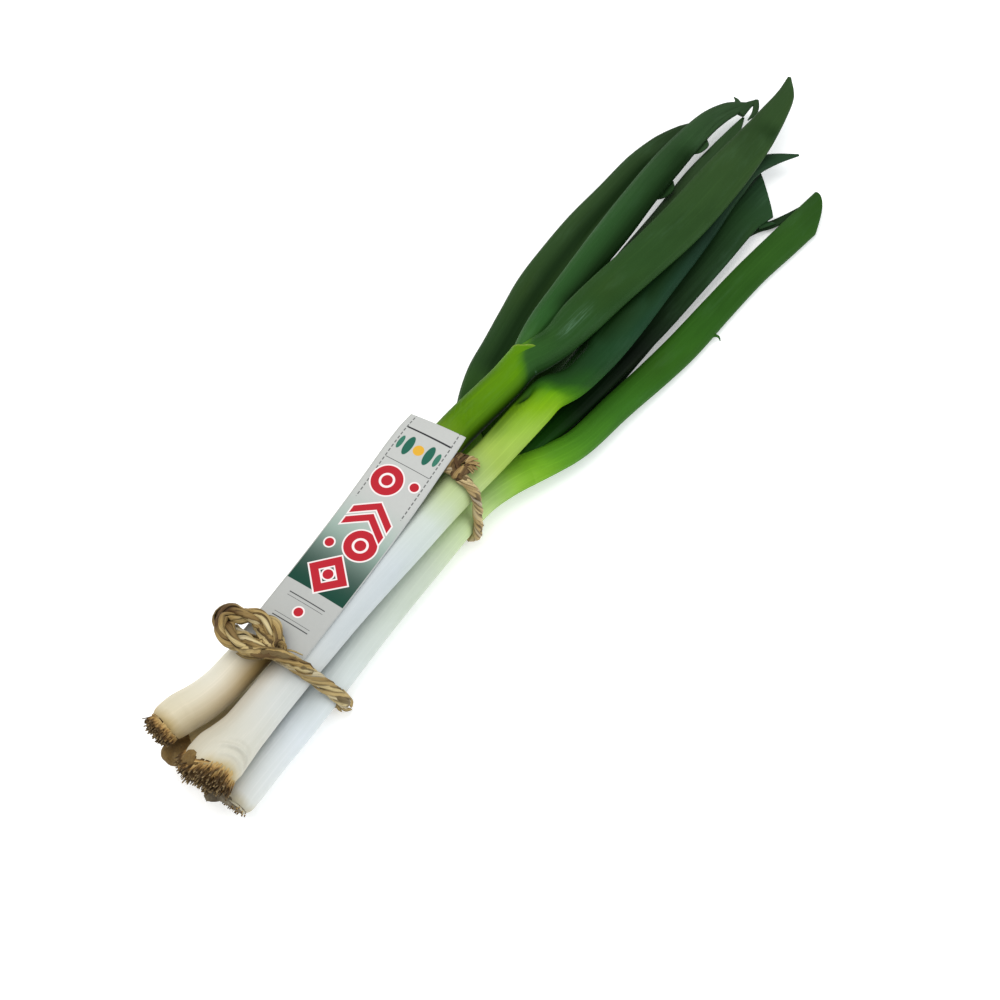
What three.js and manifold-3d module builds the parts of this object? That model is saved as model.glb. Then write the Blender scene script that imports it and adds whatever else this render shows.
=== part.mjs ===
// A bunch of four long spring onions, tied with two straw cords and carrying a paper label.
// Millimetres, +Z up. The stems run along X with their roots at the low end, the leaves at the high end.
import * as THREE from "three";
import { mergeVertices } from "three/addons/utils/BufferGeometryUtils.js";
import Module from "manifold-3d";

const wasm = await Module();
wasm.setup();

// ---------------------------------------------------------------- sizes that drive the bunch
const GAP = 0.35; // clearance kept between neighbouring pieces
const CORD_WIDTH = 8.8; // straw cord of the lower tie, pressed flat against the stems
const UPPER_CORD_WIDTH = 6.8;
const CORD_THICKNESS = 5.0;
const CORD_LAY = 34; // length of one full turn of its two strands
const LOOP_WIDTH = 10.8; // plaited cord of the carrying loop
const LOOP_LAY = 32;
const PAPER = 0.7; // the folded paper strip of the label
const LABEL_WIDTH = 39;
const STEM_SIDES = 12;
const LEAF_SIDES = 10;

// Stem routes from the root end to the neck: x, y, z, width, height.
const STEMS = {
  onion_a: [
    [6, 35.5, 38.5, 17, 17],
    [10, 35, 38.5, 21, 20.5],
    [18, 33.2, 38.5, 22.8, 22.5],
    [28, 29.8, 38.5, 22.4, 22.4],
    [40, 27.6, 38.5, 21.8, 22],
    [60, 27.2, 38.5, 21.8, 22],
    [103, 27.4, 38.6, 22, 22.2],
    [162, 28, 39, 22.2, 22.4],
    [225, 28.2, 39.8, 23, 22.6],
    [250, 28, 41, 23.2, 22],
    [275, 26, 42.6, 23.2, 21],
    [292, 24.8, 43.6, 23, 20],
    [309, 24.6, 44.4, 22.4, 19],
  ],
  onion_b: [
    [3.5, 0.8, 38.5, 27, 26],
    [7, 0.8, 38.6, 30.6, 29.4],
    [13, 0.8, 38.5, 31, 29.4],
    [20, 0.4, 38.4, 28.6, 27.6],
    [31, 0.2, 38.4, 25.4, 25],
    [48, 1.2, 38.5, 24.6, 24.6],
    [75, 2.6, 38.7, 24, 24],
    [126, 3.8, 39, 23.8, 23.8],
    [165, 3.8, 39.4, 23.4, 23.2],
    [205, 3, 39.8, 22.8, 22.4],
    [243, 1, 40, 22.2, 21.6],
    [272, 0.8, 39.6, 22.8, 21],
    [288, 0.8, 39.4, 23.2, 20],
    [303, 0.6, 39, 23, 19],
  ],
  onion_c: [
    [0, -14.2, 15.6, 19.6, 19.6],
    [5, -13.8, 15.6, 21.6, 21.4],
    [14, -13, 15.5, 22.6, 22.4],
    [31, -12.2, 15.5, 22, 22],
    [53, -11.4, 15.5, 22, 22],
    [78, -9.8, 15.5, 22.2, 22.2],
    [133, -5.6, 15.5, 22.4, 22.2],
    [172, -3.6, 15.5, 22.4, 22],
    [206, -2.6, 15.5, 22, 21.8],
    [230, -3.2, 15.2, 21.4, 20.6],
    [248, -6.6, 14.8, 22.4, 19],
    [264, -12, 14.6, 23, 18],
  ],
  onion_d: [
    [2, 26, 15.8, 18, 18],
    [7, 25.2, 15.6, 21, 21],
    [18, 22.8, 15.5, 22, 22],
    [40, 17.6, 15.4, 21.8, 21.8],
    [75, 14, 15.4, 21.8, 21.8],
    [133, 17.6, 15.4, 21.8, 21.6],
    [180, 21.4, 15.4, 21.8, 21.6],
    [220, 24.4, 15.4, 21.6, 21.4],
    [245, 27.4, 15.6, 21, 20],
    [264, 31.4, 16, 20, 18],
  ],
};

// How far each root end and each neck's end face leans: change of x across the bunch, then with height.
const BASE_LEAN = { onion_a: [0, 0], onion_b: [-0.22, 0], onion_c: [0, 0.1], onion_d: [0, 0] };
const NECK_LEAN = { onion_a: [0.7, 0.1], onion_b: [0.25, 0.15], onion_c: [0.1, 0.1], onion_d: [-0.1, 0.1] };

// Leaves: route rows x, y, z, width, thickness, roll in degrees. `cut` is a trimmed end: how far it runs
// past the route, how far it leans back across the leaf, how fast it falls away from the far edge.
// `tears` are torn points that stand off the leaf, with rows x, y, z, width, thickness.
const LEAVES = {
  onion_a_leaf_1: {
    stem: "onion_a",
    rows: [
      [309, 18.6, 44.4, 10.4, 15.4, 0],
      [321, 18.2, 45, 15.4, 14.6, 2],
      [335, 17.2, 44.8, 21.4, 13.8, 5],
      [360, 17.4, 43.4, 26.6, 12.5, 7],
      [391, 16.8, 41, 28.4, 11.4, 8],
      [423, 15.4, 38, 29.4, 10.6, 8],
      [474, 14.2, 33.4, 30.4, 9.8, 8],
      [528, 16.6, 29, 30.6, 9, 6],
      [572, 19.6, 25.6, 26, 8, 4],
      [601, 23, 23.6, 19.6, 6.4, 0],
      [625, 27, 22, 12.4, 4.6, 0],
      [643, 34.4, 21, 2.6, 1.6, 0],
    ],
  },
  onion_a_leaf_2: {
    stem: "onion_a",
    rows: [
      [314, 30.6, 44, 10, 14.4, 0],
      [330, 34.2, 42, 13, 13.4, 0],
      [352, 38, 38.4, 17.4, 12, -4],
      [383, 41.6, 34.6, 21.4, 11, -8],
      [436, 47.2, 31, 23, 10.2, -8],
      [470, 51.6, 27.4, 23.4, 9.6, -6],
      [506, 55.8, 23.6, 22.6, 9, -4],
      [542, 58.6, 19.6, 20.4, 8, 0],
      [578, 58.4, 16.2, 17.6, 6.4, 0],
      [597, 54, 14.2, 13.4, 4.6, 0],
      [611, 47, 12.4, 3.4, 2, 0],
    ],
    tears: [
      [[598, 52, 13.4, 5, 2.6], [605, 53.4, 12.8, 3.6, 1.8], [609, 57.4, 12.4, 0.9, 0.8]],
      [[598, 48, 13, 6, 3], [608, 46.8, 12.6, 4.4, 2], [618.6, 44.8, 12, 0.9, 0.8]],
    ],
  },
  onion_b_leaf_1: {
    stem: "onion_b",
    rows: [
      [304, -3.8, 39, 13, 17, 0],
      [320, -5.2, 37.4, 21, 14.5, 0],
      [349, -3.4, 33.8, 26.4, 12.6, 2],
      [381, -0.2, 30, 28.6, 11.4, 4],
      [414, 3.2, 26.6, 29.6, 10.6, 4],
      [483, 10.2, 21.6, 29.4, 9.6, 2],
      [530, 15, 18.6, 27, 8.2, 0],
      [555, 12, 16.6, 18, 6.6, 0],
      [574, 3, 15, 10, 4.4, 0],
      [589, -8, 13.6, 1.8, 1.4, 0],
    ],
  },
  onion_c_leaf_1: {
    stem: "onion_c",
    rows: [
      [265, -17.8, 14.6, 10, 15, 0],
      [281, -22, 13, 14.6, 14.4, 0],
      [300, -25.4, 11.4, 17.8, 13.4, 0],
      [339, -28, 8.8, 20, 12.6, 0],
      [376, -31.4, 6.6, 21.4, 11.6, 0],
      [407, -33.6, 5, 22, 10.6, 0],
      [446, -34.4, 4.3, 21.4, 9.8, 0],
      [487, -35.6, 4.1, 21, 9.4, 0],
      [521, -38.6, 3.9, 22.4, 9, 0],
      [561, -42.6, 3.9, 23.6, 8.6, 0],
    ],
    cut: [11, 0, 0.048],
    bright: true,
    tears: [[[419, -40.6, 4.4, 5, 2.4], [426, -45, 4, 2.6, 1.8], [426, -50, 3.8, 0.9, 0.8]]],
  },
  onion_c_leaf_2: {
    stem: "onion_c",
    rows: [
      [264, -6.4, 17, 8.4, 10, 0],
      [281, -6.8, 15.6, 12.4, 10.6, 0],
      [303, -7.6, 13.8, 15.6, 10.2, 0],
      [333, -8.4, 12, 17.6, 9.6, 0],
      [382, -8.6, 10.4, 21.8, 8.8, 0],
      [420, -8.4, 9.8, 23.4, 8.2, 0],
      [472, -8.2, 9.4, 24.2, 7.6, 0],
      [520, -7, 9, 25.4, 7, 0],
      [548, -8, 8.6, 30.6, 6.4, 0],
    ],
    cut: [0, 0.95, 0],
    tears: [[[520, -16.4, 7.2, 6, 3], [527, -21.4, 6.4, 4, 2.4], [533, -25.6, 5.2, 0.9, 0.8]]],
  },
  onion_c_leaf_3: {
    stem: "onion_c",
    rows: [
      [264, -7, 8.4, 5.6, 4.4, 0],
      [284, -8, 6.6, 6.6, 3.6, 0],
      [306, -12, 4.4, 7.6, 3.2, 0],
      [350, -13.8, 3, 8.6, 3, 0],
      [412, -12.4, 2.4, 9, 2.8, 0],
      [476, -12, 2.4, 9.2, 2.8, 0],
      [516, -15.4, 2.2, 8, 2.2, 0],
      [538, -22.6, 2.4, 5, 2, 0],
      [552, -27, 2.4, 3, 1.6, 0],
      [564, -30, 2.4, 1.2, 1, 0],
    ],
  },
  onion_d_leaf_1: {
    stem: "onion_d",
    rows: [
      [265, 36.2, 16.6, 10, 15, 0],
      [280, 43.4, 16.8, 16, 14, 0],
      [304, 51.4, 15.4, 22, 13, 0],
      [330, 57.4, 13, 24, 12, 0],
      [355, 64, 10.4, 25.4, 11.4, 0],
      [384, 70.6, 7.4, 27, 10.8, 0],
      [416, 75, 5, 27, 10.2, 0],
      [450, 78, 4.3, 26.4, 9.8, 0],
      [485, 79, 4.1, 25, 9.2, 0],
      [520, 79, 4, 23.6, 8.6, 0],
      [548, 76.8, 3.8, 19.4, 7.4, 0],
      [568, 73.4, 3.4, 12, 5.4, 0],
      [583, 69.4, 3, 2.4, 2, 0],
    ],
  },
  onion_d_leaf_2: {
    stem: "onion_d",
    rows: [
      [265, 26, 15.8, 8.6, 14, 0],
      [284, 24, 17, 13, 12.4, 0],
      [306, 22.4, 18.6, 15.4, 11, 0],
      [330, 22, 20, 16.8, 10, 0],
      [352, 23, 20.4, 17, 9.4, 0],
      [396, 27.6, 18.6, 18, 9, -4],
      [440, 31, 15.4, 20, 8.4, -6],
      [486, 33.8, 12.6, 20.8, 8, -6],
      [530, 37.2, 11, 19.6, 7.4, -4],
      [566, 40, 10, 14, 6, 0],
      [586, 42.2, 9.4, 8, 4.4, 0],
      [600, 44.4, 9, 1.8, 1.4, 0],
    ],
  },
};

// Label strip: rows x, y, z of its middle, and its roll in degrees.
const LABEL = [
  [69.4, 15.9, 51.5, -1.6],
  [78, 16.6, 51.5, -1.6],
  [90, 17.6, 51.7, -1.6],
  [125, 20.6, 52, -1.2],
  [160, 23.8, 53, -0.6],
  [188, 26.4, 55.6, -0.4],
  [210, 28.6, 58.2, -1],
  [223, 29.8, 59.2, -3],
  [235, 31, 59.4, -9],
];
const LABEL_BOW = 0.9; // how much lower its long edges hang than its middle

// Carrying loop: the middle line of the plaited cord, leaving the knot and coming back to it.
const LOOP = [
  [72.4, 8.4, 55.4],
  [67.9, 14.4, 58],
  [63.4, 22, 59.2],
  [61.2, 29.8, 59.2],
  [61.4, 37.5, 59],
  [63.6, 43.7, 58.8],
  [67.4, 46.7, 58.6],
  [71.8, 45.5, 58.6],
  [75.1, 40.5, 58.8],
  [77.5, 34.9, 59],
  [79.7, 29.2, 59.2],
  [80, 24, 59.2],
  [78.2, 18.1, 59],
  [75, 12.8, 57.6],
  [71.9, 9, 55.2],
];
const KNOT = [72.4, 9, 58.6]; // middle of the hitch that holds the loop on the lower tie

// Where each tie crosses the bench: place round the bunch in degrees (0 toward +y, 90 up), then x.
const LOWER_TIE = [
  [19, 70],
  [51, 65.5],
  [80, 68],
  [103, 70.8],
  [130, 73.6],
  [150, 76],
  [191, 80.4],
  [209, 82.6],
  [240, 83.5],
  [280, 82],
  [335, 77],
];
const UPPER_TIE = [
  [20, 215],
  [60, 217.5],
  [106, 218.2],
  [120, 217.3],
  [146, 217.2],
  [175, 215],
  [201, 211.8],
  [234, 211.2],
  [270, 210],
  [335, 211],
];
const BUNCH_MIDDLE = { y: 10, z: 28 };
const LOWER_TIE_SECTION = 74; // the x at which the stems' outline gives each tie its shape
const UPPER_TIE_SECTION = 213;

// Root tufts: stem, number of clipped roots, their length, how far they splay, seed.
const TUFTS = [
  ["onion_a", 26, 6.5, 0.5, 11],
  ["onion_b", 40, 9, 0.6, 23],
  ["onion_c", 18, 2.6, 0.35, 37],
  ["onion_d", 18, 7, 0.5, 51],
];

const COLOURS = {
  stem: [0xe9e8d8, 0.5],
  roots: [0x8a6a45, 0.95],
  leaf: [0x2f6436, 0.5],
  brightLeaf: [0x4f9636, 0.5],
  straw: [0xb09263, 0.9],
  paper: [0xf1f0ec, 0.75],
};

// ---------------------------------------------------------------- shape helpers
const V = (x, y, z) => new THREE.Vector3(x, y, z);

// A smooth line through rows of x, y, z, with the rows' other numbers carried along it.
function route(rows) {
  const line = new THREE.CatmullRomCurve3(rows.map((r) => V(r[0], r[1], r[2])));
  const sizes = new THREE.CatmullRomCurve3(rows.map((r) => V(r[3], r[4] ?? 0, r[5] ?? 0)));
  return (u) => {
    const ahead = line.getPoint(Math.min(1, u + 0.002));
    const behind = line.getPoint(Math.max(0, u - 0.002));
    const along = ahead.sub(behind).normalize();
    const side = V(0, 0, 1).cross(along).normalize();
    const top = along.clone().cross(side);
    const size = sizes.getPoint(u);
    return { centre: line.getPoint(u), along, side, top, size };
  };
}

// An indexed body from rings of points; open ends are closed by fans, a closed run joins up.
function skin(rings, closed = false) {
  const n = rings[0].length;
  const points = rings.flat();
  const faces = [];
  const count = closed ? rings.length : rings.length - 1;
  for (let i = 0; i < count; i++) {
    const a = i * n;
    const b = ((i + 1) % rings.length) * n;
    for (let k = 0; k < n; k++) {
      const m = (k + 1) % n;
      faces.push([a + k, a + m, b + k], [a + m, b + m, b + k]);
    }
  }
  if (!closed) {
    const last = (rings.length - 1) * n;
    const middle = (ring) => ring.reduce((s, p) => s.add(p), V(0, 0, 0)).divideScalar(n);
    points.push(middle(rings[0]), middle(rings[rings.length - 1]));
    for (let k = 0; k < n; k++) {
      const m = (k + 1) % n;
      faces.push([points.length - 2, m, k], [points.length - 1, last + k, last + m]);
    }
  }
  const geometry = new THREE.BufferGeometry();
  geometry.setAttribute("position", new THREE.Float32BufferAttribute(points.flatMap((p) => p.toArray()), 3));
  geometry.setIndex(faces.flat());
  return geometry;
}

// Points round a section; `square` below 1 makes it fuller than an ellipse.
function section(frame, width, height, sides, square = 1, floor = 0) {
  const ring = [];
  for (let k = 0; k < sides; k++) {
    const a = (k / sides) * 2 * Math.PI;
    const c = Math.sign(Math.cos(a)) * Math.abs(Math.cos(a)) ** square;
    const s = Math.sign(Math.sin(a)) * Math.abs(Math.sin(a)) ** square;
    const point = frame.centre.clone();
    point.addScaledVector(frame.side, (c * width) / 2);
    point.addScaledVector(frame.top, (s * height) / 2);
    point.z = Math.max(point.z, floor);
    ring.push(point);
  }
  return ring;
}

// Slides a ring along its own direction on to a leaning plane through `at`.
function slideToPlane(ring, along, at, lean) {
  const normal = V(1, -lean[0], -lean[1]);
  return ring.map((p) => {
    const step = at.clone().sub(p).dot(normal) / along.dot(normal);
    const moved = p.clone().addScaledVector(along, step);
    moved.z = Math.max(moved.z, 0);
    return moved;
  });
}

// Slides a leaf's last ring on to its slanted or rounded cut.
function trimmed(ring, end, [past, lean, rounding]) {
  return ring.map((p) => {
    const off = p.clone().sub(end.centre).dot(end.side);
    const step = past + lean * off - rounding * (end.size.x / 2 - off) ** 2;
    const moved = p.clone().addScaledVector(end.along, step);
    moved.z = Math.max(moved.z, 0);
    return moved;
  });
}

function rolled(frame) {
  const turn = THREE.MathUtils.degToRad(frame.size.z);
  frame.side.applyAxisAngle(frame.along, turn);
  frame.top.applyAxisAngle(frame.along, turn);
  return frame;
}

// A twisted cord along a closed or open line of points: `strands` lobes round its section.
function cord(points, { closed, across, width, thickness, strands, lay, grooves }) {
  const line = new THREE.CatmullRomCurve3(points, closed);
  const length = line.getLength();
  const turns = closed ? Math.round(length / lay) : length / lay;
  const parts = strands === 2 ? 4 : 3;
  const sides = strands * parts;
  const steps = Math.round(turns * sides);
  const rings = [];
  for (let i = 0; i <= (closed ? steps - 1 : steps); i++) {
    const u = i / steps;
    const centre = line.getPointAt(u);
    const along = line.getTangentAt(u);
    const wide = across.clone().addScaledVector(along, -across.dot(along)).normalize();
    const deep = along.clone().cross(wide);
    const taper = closed ? 1 : Math.min(1, 0.55 + 3 * Math.min(u, 1 - u));
    const ring = [];
    for (let k = 0; k < sides; k++) {
      const a = (k / sides + u * turns) * 2 * Math.PI;
      const r = (k % parts === 0 ? grooves : 1) * taper;
      const point = centre.clone();
      point.addScaledVector(wide, (Math.cos(a) * r * width) / 2);
      point.addScaledVector(deep, (Math.sin(a) * r * thickness) / 2);
      point.z = Math.max(point.z, 0);
      ring.push(point);
    }
    rings.push(ring);
  }
  return skin(rings, closed);
}

// Seeded numbers between 0 and 1.
function draws(seed) {
  let state = seed;
  return () => {
    state = (state * 1664525 + 1013904223) % 4294967296;
    return state / 4294967296;
  };
}

function solid(geometry) {
  const merged = mergeVertices(geometry, 1e-4);
  return new wasm.Manifold(
    new wasm.Mesh({
      numProp: 3,
      vertProperties: new Float32Array(merged.attributes.position.array),
      triVerts: new Uint32Array(merged.index.array),
    }),
  );
}

function fuse(geometries) {
  const joined = geometries.map(solid).reduce((a, b) => a.add(b));
  // the largest body is the outer skin; closed pockets between strands are left filled
  const outer = joined.decompose().reduce((a, b) => (a.volume() > b.volume() ? a : b));
  const mesh = outer.getMesh();
  const geometry = new THREE.BufferGeometry();
  geometry.setAttribute("position", new THREE.BufferAttribute(new Float32Array(mesh.vertProperties), 3));
  geometry.setIndex(new THREE.BufferAttribute(new Uint32Array(mesh.triVerts), 1));
  return geometry;
}

const group = new THREE.Group();
group.name = "spring_onion_bunch";
function place(name, geometry, look) {
  const [color, roughness] = COLOURS[look];
  const mesh = new THREE.Mesh(geometry, new THREE.MeshStandardMaterial({ color, roughness, metalness: 0 }));
  mesh.name = name;
  group.add(mesh);
}

// ---------------------------------------------------------------- stems
const stemRoutes = {};
for (const [name, rows] of Object.entries(STEMS)) {
  stemRoutes[name] = route(rows);
  const steps = rows.length * 2 - 2;
  const rings = [];
  for (let i = 0; i <= steps; i++) {
    const frame = stemRoutes[name](i / steps);
    rings.push(section(frame, frame.size.x, frame.size.y, STEM_SIDES));
  }
  const [base, end] = [0, 1].map(stemRoutes[name]);
  rings[0] = slideToPlane(rings[0], base.along, base.centre, BASE_LEAN[name]);
  rings[steps] = slideToPlane(rings[steps], end.along, end.centre, NECK_LEAN[name]);
  place(`${name}_stem`, skin(rings), "stem");
}

// ---------------------------------------------------------------- leaves
for (const [name, leaf] of Object.entries(LEAVES)) {
  const at = route(leaf.rows);
  const steps = leaf.rows.length * 2 - 1;
  const rings = [];
  for (let i = 0; i <= steps; i++) {
    const frame = rolled(at(i / steps));
    rings.push(section(frame, frame.size.x, frame.size.y, LEAF_SIDES, 0.9));
  }
  const neck = stemRoutes[leaf.stem](1);
  const start = neck.centre.clone().add(V(GAP * 1.5, 0, 0));
  rings[0] = slideToPlane(rings[0], at(0).along, start, NECK_LEAN[leaf.stem]);
  if (leaf.cut) rings[steps] = trimmed(rings[steps], at(1), leaf.cut);
  const blade = skin(rings);
  const tears = (leaf.tears ?? []).map((rows) => {
    const along = route(rows);
    return skin([0, 0.5, 1].map((u) => section(along(u), along(u).size.x, along(u).size.y, 4)));
  });
  place(name, tears.length ? fuse([blade, ...tears]) : blade, leaf.bright ? "brightLeaf" : "leaf");
}

// ---------------------------------------------------------------- root tufts
for (const [name, count, length, splay, seed] of TUFTS) {
  const draw = draws(seed);
  const base = stemRoutes[name](0);
  const radius = base.size.x / 2;
  const back = base.along.clone().negate();
  const plate = [
    [GAP + 0.1, 0.9],
    [GAP + 1.2, 0.94],
    [GAP + 3, 0.62],
  ].map(([out, part]) => {
    const ring = section(base, 2 * radius * part, 2 * radius * part, 10);
    return slideToPlane(ring, base.along, base.centre.clone().sub(V(out, 0, 0)), BASE_LEAN[name]);
  });
  const pieces = [skin(plate.reverse())];
  for (let i = 0; i < count; i++) {
    const reach = Math.sqrt((i + 0.5) / count);
    const turn = i * 2.39996 + draw() * 0.5;
    const out = base.side.clone().multiplyScalar(Math.cos(turn));
    out.addScaledVector(base.top, Math.sin(turn));
    const aside = out.clone().multiplyScalar(radius * 0.8 * reach);
    const foot = base.centre.clone().add(aside);
    foot.x += BASE_LEAN[name][0] * aside.y + BASE_LEAN[name][1] * aside.z - GAP - 1.5;
    const aim = back.clone().addScaledVector(out, splay * reach * (0.6 + draw()));
    aim.addScaledVector(base.top, (draw() - 0.55) * 0.5).normalize();
    const run = length * (0.6 + 0.7 * draw());
    const side = aim.clone().cross(V(0.1, 0.2, 1)).normalize();
    const top = aim.clone().cross(side);
    const stub = [0, 1].map((u) => {
      const centre = foot.clone().addScaledVector(aim, u * run);
      return section({ centre, side, top }, 2.3 - 0.9 * u, 2.3 - 0.9 * u, 4, 1, -9);
    });
    pieces.push(skin(stub));
  }
  place(`${name}_roots`, fuse(pieces), "roots");
}

// ---------------------------------------------------------------- straw ties
// Closed path of a cord drawn tight round the stems' outline at x, then carried along to `places`.
function tiePath(x, places, extra) {
  const reach = GAP + 0.15 + CORD_THICKNESS / 2;
  const dots = [];
  const rounds = Object.values(stemRoutes).map((at) => {
    let best = at(0);
    for (let i = 0; i <= 200; i++) {
      const frame = at(i / 200);
      if (Math.abs(frame.centre.x - x) < Math.abs(best.centre.x - x)) best = frame;
    }
    return [best.centre.y, best.centre.z, Math.max(best.size.x, best.size.y) / 2];
  });
  for (const [y, z, r] of [...rounds, ...extra]) {
    for (let k = 0; k < 32; k++) {
      const a = (k / 32) * 2 * Math.PI;
      dots.push([y + (r + reach) * Math.cos(a), z + (r + reach) * Math.sin(a)]);
    }
  }
  dots.sort((p, q) => p[0] - q[0] || p[1] - q[1]);
  const turn = (o, p, q) => (p[0] - o[0]) * (q[1] - o[1]) - (p[1] - o[1]) * (q[0] - o[0]);
  const half = (list) => {
    const chain = [];
    for (const p of list) {
      while (chain.length > 1 && turn(chain.at(-2), chain.at(-1), p) <= 0) chain.pop();
      chain.push(p);
    }
    return chain.slice(0, -1);
  };
  const hull = [...half(dots), ...half(dots.reverse())];
  const last = places.at(-1);
  const round = [[last[0] - 360, last[1]], ...places, [places[0][0] + 360, places[0][1]]];
  return hull.map(([y, z]) => {
    const turned = (Math.atan2(z - BUNCH_MIDDLE.z, y - BUNCH_MIDDLE.y) * 180) / Math.PI;
    const angle = (turned + 360) % 360;
    const next = round.findIndex(([at]) => at > angle);
    const [low, high] = [round[next - 1], round[next]];
    return V(low[1] + ((high[1] - low[1]) * (angle - low[0])) / (high[0] - low[0]), y, z);
  });
}

const tie = { closed: true, across: V(1, 0, 0), width: CORD_WIDTH, thickness: CORD_THICKNESS };
Object.assign(tie, { strands: 2, lay: CORD_LAY, grooves: 0.72 });

const labelAt = route(LABEL.map(([x, y, z, roll]) => [x, y, z, LABEL_WIDTH, PAPER, roll]));
const labelEdge = (side) => {
  const frame = rolled(labelAt(0));
  const edge = frame.centre.clone().addScaledVector(frame.side, (side * LABEL_WIDTH) / 2);
  return [edge.y, edge.z, PAPER / 2];
};
const lowerTie = cord(tiePath(LOWER_TIE_SECTION, LOWER_TIE, [labelEdge(1), labelEdge(-1)]), tie);
const plait = { closed: false, across: V(0, 0, 1), width: LOOP_WIDTH, thickness: LOOP_WIDTH };
const loop = cord(LOOP.map((p) => V(...p)), { ...plait, strands: 3, lay: LOOP_LAY, grooves: 0.76 });
const hitch = [];
for (let k = 0; k < 16; k++) {
  const a = (k / 16) * 2 * Math.PI;
  hitch.push(V(KNOT[0] + 6.6 * Math.cos(a), KNOT[1] + 1.5 * Math.sin(a), KNOT[2] + 3.8 * Math.sin(a)));
}
const hitchCord = { ...tie, across: V(0, 1, 0), thickness: 4.4, lay: 20 };
place("lower_tie", fuse([lowerTie, loop, cord(hitch, hitchCord)]), "straw");

const upperTie = cord(tiePath(UPPER_TIE_SECTION, UPPER_TIE, []), {
  ...tie,
  width: UPPER_CORD_WIDTH,
});
const bow = { ...tie, closed: false, across: V(0, 1, 0.3), width: 5.4, thickness: 4.6 };
const upperKnot = [
  cord([V(214, 9, 53.4), V(218, 6.8, 56.2), V(223, 4.4, 56.2), V(227, 0.6, 53.6)], bow),
  cord([V(227, 7.4, 53.4), V(222, 6.4, 56), V(217, 3, 56), V(214, -3, 53.4)], bow),
];
const fray = draws(71);
for (let i = 0; i < 6; i++) {
  const foot = V(223 + fray() * 2, 4 + fray() * 3, 54.8 + fray());
  const aim = V(0.9, 0.2 - 0.7 * fray(), -0.1 + 0.3 * fray()).normalize();
  const side = aim.clone().cross(V(0, 0, 1)).normalize();
  const top = aim.clone().cross(side);
  const straw = [0, 1].map((u) => {
    const centre = foot.clone().addScaledVector(aim, u * (5 + 3 * fray()));
    return section({ centre, side, top }, 1.8 - 0.7 * u, 1.4 - 0.4 * u, 4);
  });
  upperKnot.push(skin(straw));
}
place("upper_tie", fuse([upperTie, ...upperKnot]), "straw");

// ---------------------------------------------------------------- paper label
const labelSteps = 14;
const labelRings = [];
for (let i = 0; i <= labelSteps; i++) {
  const frame = rolled(labelAt(i / labelSteps));
  const upper = [];
  const lower = [];
  for (let k = 0; k <= 4; k++) {
    const across = k / 2 - 1;
    const point = frame.centre.clone().addScaledVector(frame.side, (across * LABEL_WIDTH) / 2);
    point.addScaledVector(frame.top, -LABEL_BOW * across * across);
    upper.push(point.clone().addScaledVector(frame.top, PAPER / 2));
    lower.unshift(point.clone().addScaledVector(frame.top, -PAPER / 2));
  }
  labelRings.push([...upper.reverse(), ...lower.reverse()]);
}
place("label", skin(labelRings), "paper");

// ---------------------------------------------------------------- origin under the middle, on the table
const box = new THREE.Box3().setFromObject(group);
const middle = box.getCenter(V(0, 0, 0));
for (const mesh of group.children) mesh.geometry.translate(-middle.x, -middle.y, -box.min.z);

export default group;
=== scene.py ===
import math
from collections import namedtuple
from functools import cache

import bpy
import numpy as np
from bpy.props import FloatProperty, FloatVectorProperty, PointerProperty
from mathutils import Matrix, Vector


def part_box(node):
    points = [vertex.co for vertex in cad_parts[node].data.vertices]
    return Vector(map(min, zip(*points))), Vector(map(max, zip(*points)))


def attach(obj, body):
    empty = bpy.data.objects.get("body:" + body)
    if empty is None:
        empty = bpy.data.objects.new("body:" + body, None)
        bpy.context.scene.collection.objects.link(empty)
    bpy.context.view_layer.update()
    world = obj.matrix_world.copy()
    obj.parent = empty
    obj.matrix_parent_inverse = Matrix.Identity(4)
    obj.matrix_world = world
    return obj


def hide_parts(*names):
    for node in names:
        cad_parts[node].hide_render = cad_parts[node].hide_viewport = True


bl_info = {
    "name": "Spring Onion Bunch",
    "version": (1, 0, 0),
    "blender": (4, 5, 0),
    "location": "View3D > Sidebar > Onions",
    "description": "Dresses a tied bunch of spring onions: stems, leaves, roots, straw ties and label",
    "category": "Object",
}

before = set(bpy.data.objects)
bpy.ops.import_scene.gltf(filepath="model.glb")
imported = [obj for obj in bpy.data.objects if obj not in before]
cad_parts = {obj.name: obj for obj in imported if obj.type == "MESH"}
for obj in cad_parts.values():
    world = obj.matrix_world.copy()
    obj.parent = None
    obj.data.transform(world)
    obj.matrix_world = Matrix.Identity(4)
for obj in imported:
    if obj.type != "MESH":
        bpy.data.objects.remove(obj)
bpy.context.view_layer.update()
MM = 0.001

# ------------------------------------------------------------------ the bunch's own routes
# All rows are millimetres on the bench the bunch was laid out on: x along it from the lowest root,
# y across it, z up from the table. A row is x, y, z, width, height and roll in degrees.
# Angles round a stem or leaf are in degrees too: 0 toward +y, 90 up.

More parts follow.
